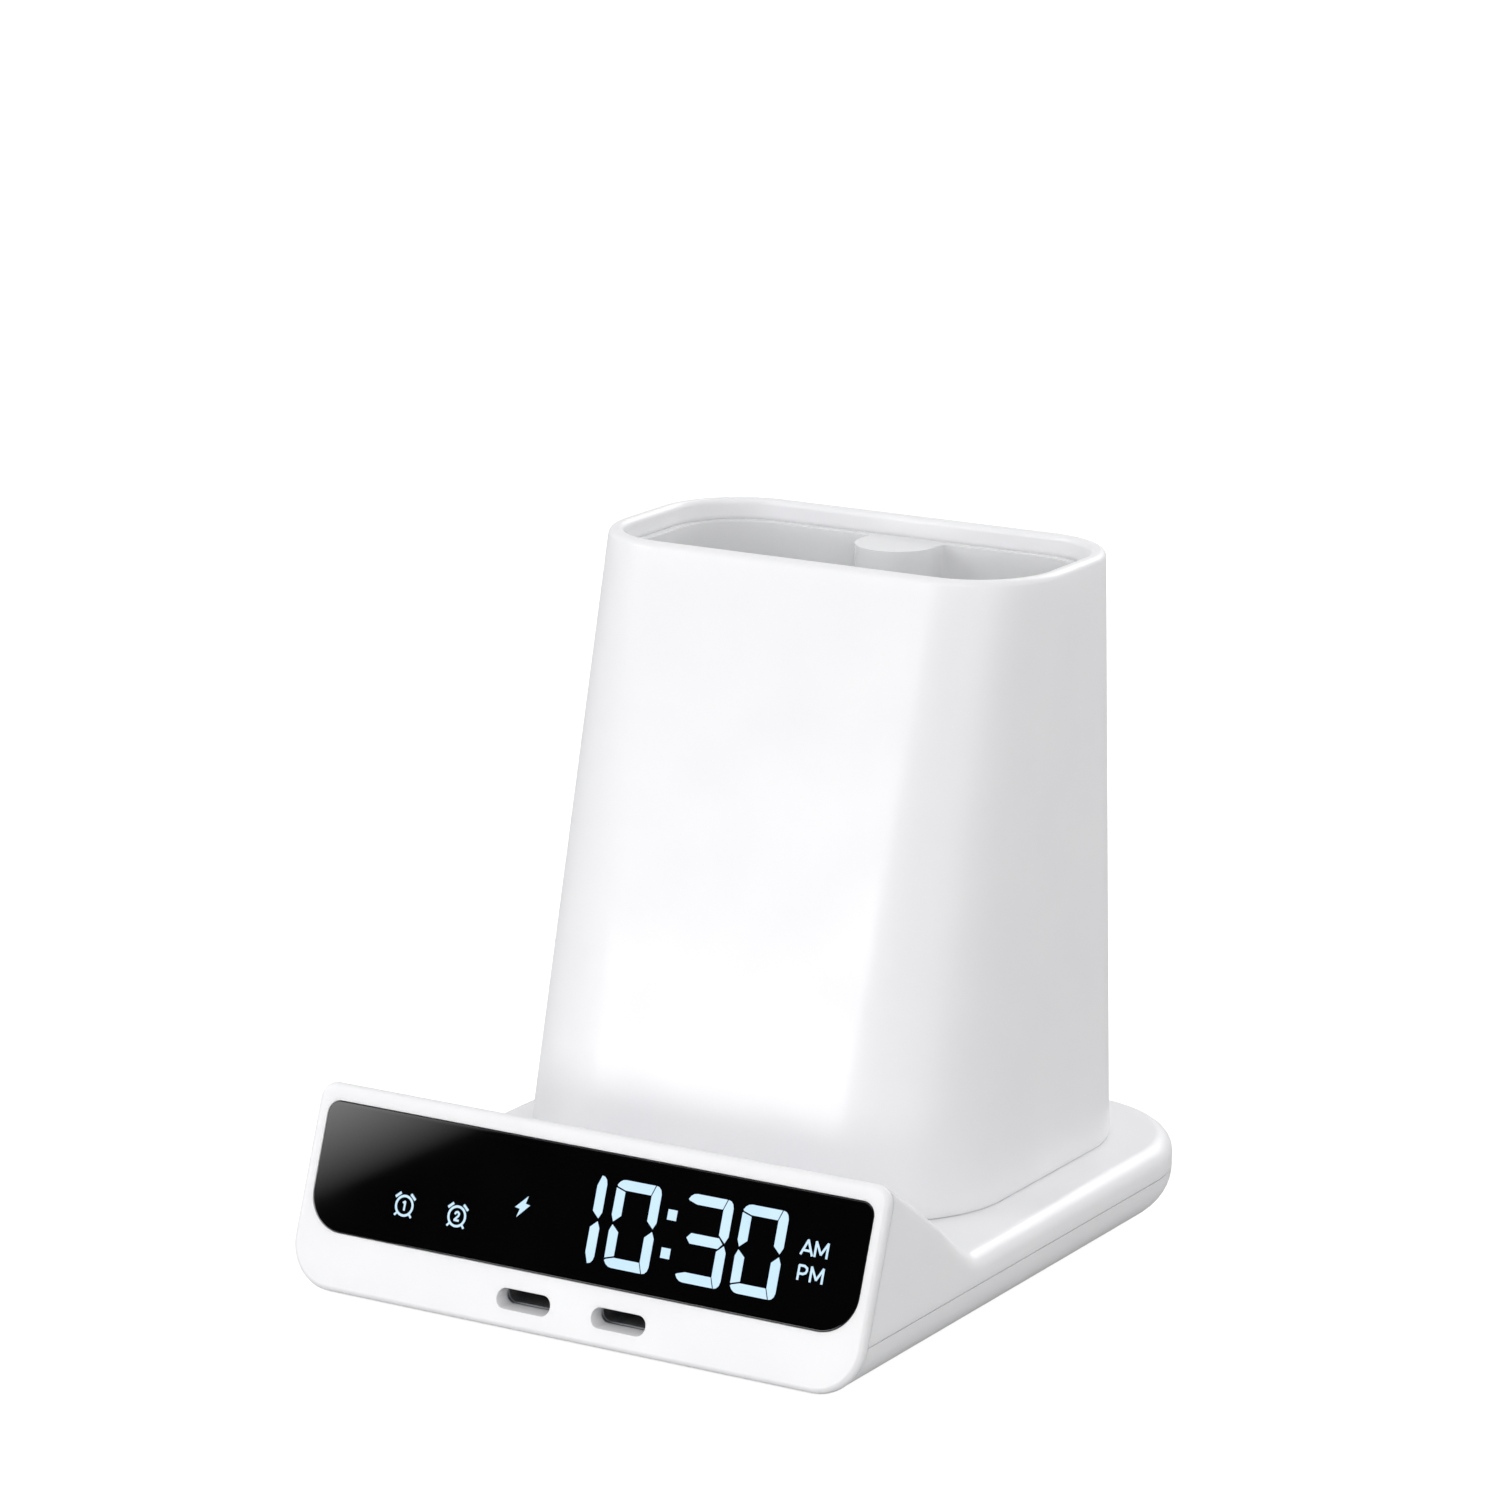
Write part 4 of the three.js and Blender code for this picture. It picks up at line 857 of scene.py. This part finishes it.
time_mesh = bmesh.new()
for middle, bars, middle_bar in FIGURES:
    figure(time_mesh, middle, bars, middle_bar)
for rise in COLON_RISES:
    low, high = rise - DOT_HALF, rise + DOT_HALF
    left, right = COLON_SIDES
    flat_shape(time_mesh, [(left, low), (right, low), (right, high), (left, high)])
dress(object_from(time_mesh, "lit_time", FACE), lit_blue)

# %% [markdown]
# ## Signs
#
# The small signs are generic ones: two alarm clocks numbered 1 and 2, a charging bolt, and the letters for
# the halves of the day. Each is drawn with short strokes of one pen width, as such a module's print is.

# %% Strokes
PEN = 0.3
BELL_PEN = 0.36
LETTER_PEN = 0.33
STROKE_REACH = 0.2
CLOCK_OUTER = 1.54
CLOCK_INNER = 1.2
CLOCK_STEPS = 40


def stroke(mesh, start, end, width):
    a, b = Vector(start), Vector(end)
    along = (b - a).normalized()
    across = Vector((-along.y, along.x)) * width / 2
    flat_shape(mesh, [tuple(a - across), tuple(b - across), tuple(b + across), tuple(a + across)])


def strokes(mesh, place, width, lines):
    for line in lines:
        for start, end in zip(line, line[1:]):
            reach = (Vector(end) - Vector(start)).normalized() * width * STROKE_REACH
            a = Vector(start) - reach + Vector(place)
            b = Vector(end) + reach + Vector(place)
            stroke(mesh, a, b, width)


def ring(mesh, place, outer, inner):
    made = []
    for radius in (outer, inner):
        circle = bmesh.ops.create_circle(
            mesh, cap_ends=False, segments=CLOCK_STEPS, radius=radius, matrix=Matrix.Translation((*place, 0))
        )
        made += list({e for v in circle["verts"] for e in v.link_edges})
    band = bmesh.ops.bridge_loops(mesh, edges=made)["faces"]
    lifted = bmesh.ops.extrude_face_region(mesh, geom=band, use_keep_orig=True)["geom"]
    upper = [g for g in lifted if isinstance(g, bmesh.types.BMVert)]
    bmesh.ops.translate(mesh, vec=(0, 0, LIT_SKIN), verts=upper)


ONE = [[(-0.25, 0.4), (0.06, 0.6), (0.06, -0.62)]]
TWO = [[(-0.34, 0.3), (-0.22, 0.54), (0.06, 0.62), (0.32, 0.42), (0.26, 0.1), (-0.34, -0.56), (0.38, -0.56)]]
BELL = [(0.88, 1.72), (1.6, 1.1)]
LEG = [(1.08, -1.14), (1.36, -1.46)]


def alarm_sign(mesh, place, number):
    ring(mesh, place, CLOCK_OUTER, CLOCK_INNER)
    strokes(mesh, place, PEN, number)
    for side in (-1, 1):
        for line, width in ((BELL, BELL_PEN), (LEG, PEN)):
            strokes(mesh, place, width, [[(side * x, y) for x, y in line]])


# %% Signs and letters
ALARMS = [(ONE, (-29.1, 13.8)), (TWO, (-20.25, 13.8))]
BOLT_PLACE = (-10, 16.9)
BOLT = [(0.72, 1.58), (-1.17, -0.23), (-0.35, -0.36), (-0.68, -1.56), (1.21, 0.35), (0.45, 0.48)]
LETTER_A = [[(-0.88, -1.0), (0, 1.0), (0.88, -1.0)], [(-0.54, -0.42), (0.54, -0.42)]]
LETTER_M = [[(-0.92, -1.0), (-0.92, 1.0), (0, -0.62), (0.92, 1.0), (0.92, -1.0)]]
LETTER_P = [[(-0.6, -1.0), (-0.6, 0.94), (0.2, 0.94), (0.62, 0.7),
             (0.66, 0.35), (0.5, 0.02), (0.1, -0.16), (-0.6, -0.16)]]
LETTERS = [
    (LETTER_A, (35.4, 19.0)), (LETTER_M, (37.6, 19.0)),
    (LETTER_P, (35.3, 15.55)), (LETTER_M, (37.55, 15.55)),
]

signs = bmesh.new()
for number, place in ALARMS:
    alarm_sign(signs, place, number)
flat_shape(signs, [(BOLT_PLACE[0] + x, BOLT_PLACE[1] + y) for x, y in BOLT])
for letter, place in LETTERS:
    strokes(signs, place, LETTER_PEN, letter)
dress(object_from(signs, "lit_signs", FACE), lit_blue)

# %% [markdown]
# ## Inlets
#
# Each inlet is a drawn steel cup with a thin rolled mouth and a black tongue that carries flat gold
# contacts on both faces. In the slot's shade little more than its lower wall and the tongue's edge shows.

# %% Inlet shells and contacts
PORT_BACK = (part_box("left_inlet_shell")[1].y - front_offset) * 1000
PORT_FRONT = 4.2
PORT_LENGTH = PORT_BACK - PORT_FRONT
PORT_WIDTH = 8.94
PORT_HEIGHT = 3.2
PORT_WALL = 0.3
MOUTH_OVER = 1
CONTACTS = 12
CONTACT_PITCH = 0.5
CONTACT_RISE = 0.36
CONTACT_DEPTH = 4.0
CONTACT_SIZE = (0.26, 2.6, 0.05)


def inlet_shell(x):
    mesh = bmesh.new()
    outer = obround_face(mesh, x, INLET_RISE, PORT_WIDTH, PORT_HEIGHT, PORT_FRONT)
    pull(mesh, outer, (0, PORT_LENGTH, 0))
    room = bmesh.new()
    inner = obround_face(
        room, x, INLET_RISE, PORT_WIDTH - 2 * PORT_WALL, PORT_HEIGHT - 2 * PORT_WALL, PORT_FRONT - MOUTH_OVER
    )
    pull(room, inner, (0, PORT_LENGTH + MOUTH_OVER - PORT_WALL, 0))
    return cut_away(object_from(mesh, "inlet_cup", UPRIGHT), object_from(room, "inlet_room", UPRIGHT))


def contacts(x):
    """Twelve flat contacts on each face of the tongue, half a millimetre apart."""
    mesh = bmesh.new()
    for way in (-1, 1):
        for count in range(CONTACTS):
            across = x + (count - (CONTACTS - 1) / 2) * CONTACT_PITCH
            place = Matrix.Translation((across, PORT_FRONT + CONTACT_DEPTH, INLET_RISE + way * CONTACT_RISE))
            bmesh.ops.create_cube(mesh, size=1, matrix=place @ Matrix.Diagonal((*CONTACT_SIZE, 1)))
    return object_from(mesh, "contacts", UPRIGHT)


for side, x in zip(("left", "right"), INLETS):
    shell = inlet_shell(x)
    shell.name = f"{side}_inlet_cup"
    dress(shell, inlet_steel, stands_for=[f"{side}_inlet_shell"])
    pads = contacts(x)
    pads.name = f"{side}_inlet_contacts"
    dress(pads, contact_gold)

# %% [markdown]
# ## Keys
#
# The three keys are small moulded caps. A merged copy of each solid is given rounded edges, so they catch a
# thin line of light and look pressed from plastic rather than sawn.

# %% Key caps
KEY_EDGE = 0.22
KEY_MERGE = 0.01
FLAT_TURN = 0.02
SHARP_TURN = 1.0

for name in ("set", "up", "down"):
    mesh = bmesh.new()
    mesh.from_mesh(nodes[f"{name}_button"].data)
    bmesh.ops.remove_doubles(mesh, verts=mesh.verts, dist=KEY_MERGE / 1000)
    bmesh.ops.dissolve_limit(mesh, angle_limit=FLAT_TURN, verts=mesh.verts, edges=mesh.edges)
    corners = [e for e in mesh.edges if len(e.link_faces) == 2 and e.calc_face_angle(0) > SHARP_TURN]
    round_edges(mesh, corners, KEY_EDGE / 1000, steps=3)
    cap = object_from(mesh, f"{name}_key_cap", Matrix.Identity(4))
    dress(cap, white_abs, f"{name}_key", stands_for=[f"{name}_button"])


# %% [markdown]
# ## Feet and screws
#
# Each foot is a silicone pad with a soft edge and a shallow dish, turned from its half section. The housing
# screws are pan heads with a cross recess, which is pressed in by a cutter of two crossed wedges.

# %% Turned pieces
def turned(profile, x, y, steps=48):
    """Spin a half section of (radius, height) points about an upright axis."""
    mesh = bmesh.new()
    points = [mesh.verts.new((radius, 0, height)) for radius, height in profile]
    edges = [mesh.edges.new(pair) for pair in zip(points, points[1:])]
    bmesh.ops.spin(
        mesh, geom=points + edges, cent=(0, 0, 0), axis=(0, 0, 1), dvec=(0, 0, 0),
        angle=2 * math.pi, steps=steps, use_merge=True,
    )
    bmesh.ops.remove_doubles(mesh, verts=mesh.verts, dist=SAME)
    bmesh.ops.translate(mesh, vec=(x, y, 0), verts=mesh.verts)
    return mesh


FOOT_HALF = [(0, 0.7), (4.9, 0.7), (5.0, 0.6), (5.0, -0.35), (4.93, -0.6), (4.75, -0.76), (4.5, -0.8),
             (3.4, -0.8), (3.2, -0.74), (3.0, -0.6), (0, -0.6)]
FOOT_NAMES = ("front_left", "front_right", "back_left", "back_right")
assert len(FEET) == len(SCREWS) == len(FOOT_NAMES)
for name, (x, y) in zip(FOOT_NAMES, FEET):
    foot = object_from(turned(FOOT_HALF, x, y), f"{name}_pad", UPRIGHT)
    dress(foot, silicone, stands_for=[f"{name}_foot"])

# %% Screws
HEAD_LOW = 0.15
HEAD_HIGH = 1.45
HEAD_RADIUS = 1.9
CROSS_TURN = 0.4
CROSS_ARM = (2.1, 0.45, 1.5)
SCREW_HALF = [
    (0, HEAD_LOW), (1.0, HEAD_LOW + 0.04), (1.55, HEAD_LOW + 0.2), (HEAD_RADIUS, HEAD_LOW + 0.6),
    (HEAD_RADIUS, HEAD_HIGH), (1.1, HEAD_HIGH), (1.1, 8.0), (0.6, 8.7), (0, 8.7),
]


def cross_cutter(x, y):
    """The two arms of the cross recess."""
    arms = []
    for turn in (CROSS_TURN, CROSS_TURN + math.pi / 2):
        mesh = bmesh.new()
        place = Matrix.Translation((x, y, HEAD_LOW)) @ Matrix.Rotation(turn, 4, "Z")
        bmesh.ops.create_cube(mesh, size=1, matrix=place @ Matrix.Diagonal((*CROSS_ARM, 1)))
        arms.append(object_from(mesh, "cross_arm", UPRIGHT))
    return arms


for name, (x, y) in zip(FOOT_NAMES, SCREWS):
    screw = object_from(turned(SCREW_HALF, x, y, steps=32), f"{name}_screw", UPRIGHT)
    cut_away(screw, *cross_cutter(x, y))
    dress(screw, zinc_steel, stands_for=[f"{name}_housing_screw"])

# %% [markdown]
# ## Camera
#
# The photograph was matched by its vanishing lines: a lens of about 142 mm on a 36 mm sensor, 31 degrees
# round from the front and 14 degrees above the desk, aimed so that no shift is needed.

# %% Camera
LENS_MM = 141.94
SENSOR_MM = 36
CAMERA_PLACE = (0.42023, -0.64212, 0.27719)
LOOK_DOWN, ROLL, ROUND_FROM_FRONT = 14.115, -0.07, 31.292

scene = bpy.context.scene
lens = bpy.data.cameras.new("photo_lens")
lens.lens = LENS_MM
lens.sensor_width = SENSOR_MM
camera = bpy.data.objects.new("photo_camera", lens)
camera.location = Vector(CAMERA_PLACE) + Vector((0, front_offset, 0))
camera.rotation_euler = [math.radians(angle) for angle in (90 - LOOK_DOWN, ROLL, ROUND_FROM_FRONT)]
scene.collection.objects.link(camera)
scene.camera = camera

# %% [markdown]
# ## Studio
#
# The photo is a bright product shot: white all round, a broad lamp from the front left and a small low one
# beside it, a softer lamp that lifts the right side, and one from behind for the rims. The world gives the
# even white. In mirror images it is dark, apart from one bright card up on the left, whose edge is what
# fades across the window's upper corner, and one high at the back, which draws the bright line along each
# rolled edge. Each card is a direction, and how close a ray's direction comes to it says how much of the
# card the ray meets.

# %% World
FRONT_CARD = (-0.4826, 0.5533, 0.679)
FRONT_CARD_EDGE = (-0.0004, 0.0138)
FRONT_CARD_LIGHT = (0.015, 4.2)
FRONT_CARD_FADE = (0.02, 0.09)
FRONT_CARD_END = 0.2
BACK_CARD = (-0.136, 0.83, 0.543)
BACK_CARD_EDGE = (0.95, 0.995)
BACK_CARD_LIGHT = 2.4
EVEN_LIGHT = 0.6
world = bpy.data.worlds.new("white_studio")
scene.world = world
world.use_nodes = True
studio = world.node_tree
studio.nodes.clear()
ray = add_node(studio, "ShaderNodeLightPath")
where = add_node(studio, "ShaderNodeTexCoord").outputs["Generated"]
closeness = {"operation": "DOT_PRODUCT"}
to_front = add_node(studio, "ShaderNodeVectorMath", closeness, _0=where, _1=FRONT_CARD).outputs["Value"]
front_edge = add_node(
    studio, "ShaderNodeMapRange", Value=to_front, From_Min=FRONT_CARD_EDGE[0], From_Max=FRONT_CARD_EDGE[1],
    To_Min=FRONT_CARD_LIGHT[0], To_Max=FRONT_CARD_LIGHT[1],
).outputs[0]
front_fade = add_node(
    studio, "ShaderNodeMapRange", Value=to_front, From_Min=FRONT_CARD_FADE[0], From_Max=FRONT_CARD_FADE[1],
    To_Min=1, To_Max=FRONT_CARD_END,
).outputs[0]
to_back = add_node(studio, "ShaderNodeVectorMath", closeness, _0=where, _1=BACK_CARD).outputs["Value"]
back_card = add_node(
    studio, "ShaderNodeMapRange", {"interpolation_type": "SMOOTHSTEP"}, Value=to_back,
    From_Min=BACK_CARD_EDGE[0], From_Max=BACK_CARD_EDGE[1], To_Min=0, To_Max=BACK_CARD_LIGHT,
).outputs[0]
cards = add_node(
    studio, "ShaderNodeMath", {"operation": "MULTIPLY_ADD"}, _0=front_edge, _1=front_fade, _2=back_card
).outputs[0]
even_light, mirror_light, seen_light = [
    add_node(studio, "ShaderNodeBackground", Color=colour("#FFFFFF"), Strength=strength).outputs[0]
    for strength in (EVEN_LIGHT, cards, 1.0)
]
by_gloss = add_node(
    studio, "ShaderNodeMixShader", _0=ray.outputs["Is Glossy Ray"], _1=even_light, _2=mirror_light
).outputs[0]
by_eye = add_node(
    studio, "ShaderNodeMixShader", _0=ray.outputs["Is Camera Ray"], _1=by_gloss, _2=seen_light
).outputs[0]
add_node(studio, "ShaderNodeOutputWorld", Surface=by_eye)
print("studio nodes:", len(studio.nodes))


# %% Lamps
# Each lamp's place and width in metres and its power in watts. All look at a point above the base's middle.
LAMPS = {
    "front_left_lamp": ((-1.3, -0.95, 0.85), 0.9, 6),
    "low_front_lamp": ((-0.6, -1.2, 0.17), 0.3, 3.15),
    "front_right_lamp": ((1.1, -1.1, 0.72), 1.3, 6.5),
    "back_lamp": ((0.3, 1.2, 0.8), 0.8, 5),
}
LAMP_AIM = Vector((0, 0, 0.04))

for name, (place, width, watts) in LAMPS.items():
    light = bpy.data.lights.new(name, "AREA")
    light.shape = "DISK"
    light.size = width
    light.energy = watts
    holder = bpy.data.objects.new(name, light)
    holder.location = place
    holder.rotation_euler = (LAMP_AIM - Vector(place)).to_track_quat("-Z", "Y").to_euler()
    scene.collection.objects.link(holder)
print("lamps:", len(LAMPS))


# %% [markdown]
# ## Floor
#
# The object stands on matt white paper. In such a shot the paper is lit apart from the object until it
# burns out to white, so a little light of its own is added for the eye alone, and the paper still throws
# only its true share of light up at the object.

# %% Floor
FLOOR_SIZE = 6
PAPER_WASH = 0.85
FIBRE_MM = 2


def paper():
    """Matt white paper that the eye sees a little brighter than it lights the object."""
    look, tree, place = new_look("paper_white_matt")
    fibre = add_node(tree, "ShaderNodeTexNoise", Vector=place, Scale=1000 / FIBRE_MM, Detail=3).outputs[0]
    tone = add_node(
        tree, "ShaderNodeMix", BLEND, _0=fibre, _6=colour("#CACACA"), _7=colour("#C6C6C6")
    ).outputs[2]
    matt = add_node(tree, "ShaderNodeBsdfDiffuse", Color=tone).outputs[0]
    seen = add_node(tree, "ShaderNodeLightPath").outputs["Is Camera Ray"]
    wash = add_node(tree, "ShaderNodeEmission", Color=colour("#FFFFFF"), Strength=PAPER_WASH).outputs[0]
    extra = add_node(tree, "ShaderNodeMixShader", _0=seen, _2=wash).outputs[0]
    both = add_node(tree, "ShaderNodeAddShader", _0=matt, _1=extra)
    add_node(tree, "ShaderNodeOutputMaterial", Surface=both.outputs[0])
    return look


paper_mesh = bmesh.new()
bmesh.ops.create_grid(paper_mesh, x_segments=1, y_segments=1, size=FLOOR_SIZE)
floor = object_from(paper_mesh, "studio_floor", Matrix.Identity(4))
floor.data.materials.append(paper())
scene.view_settings.view_transform = "Standard"
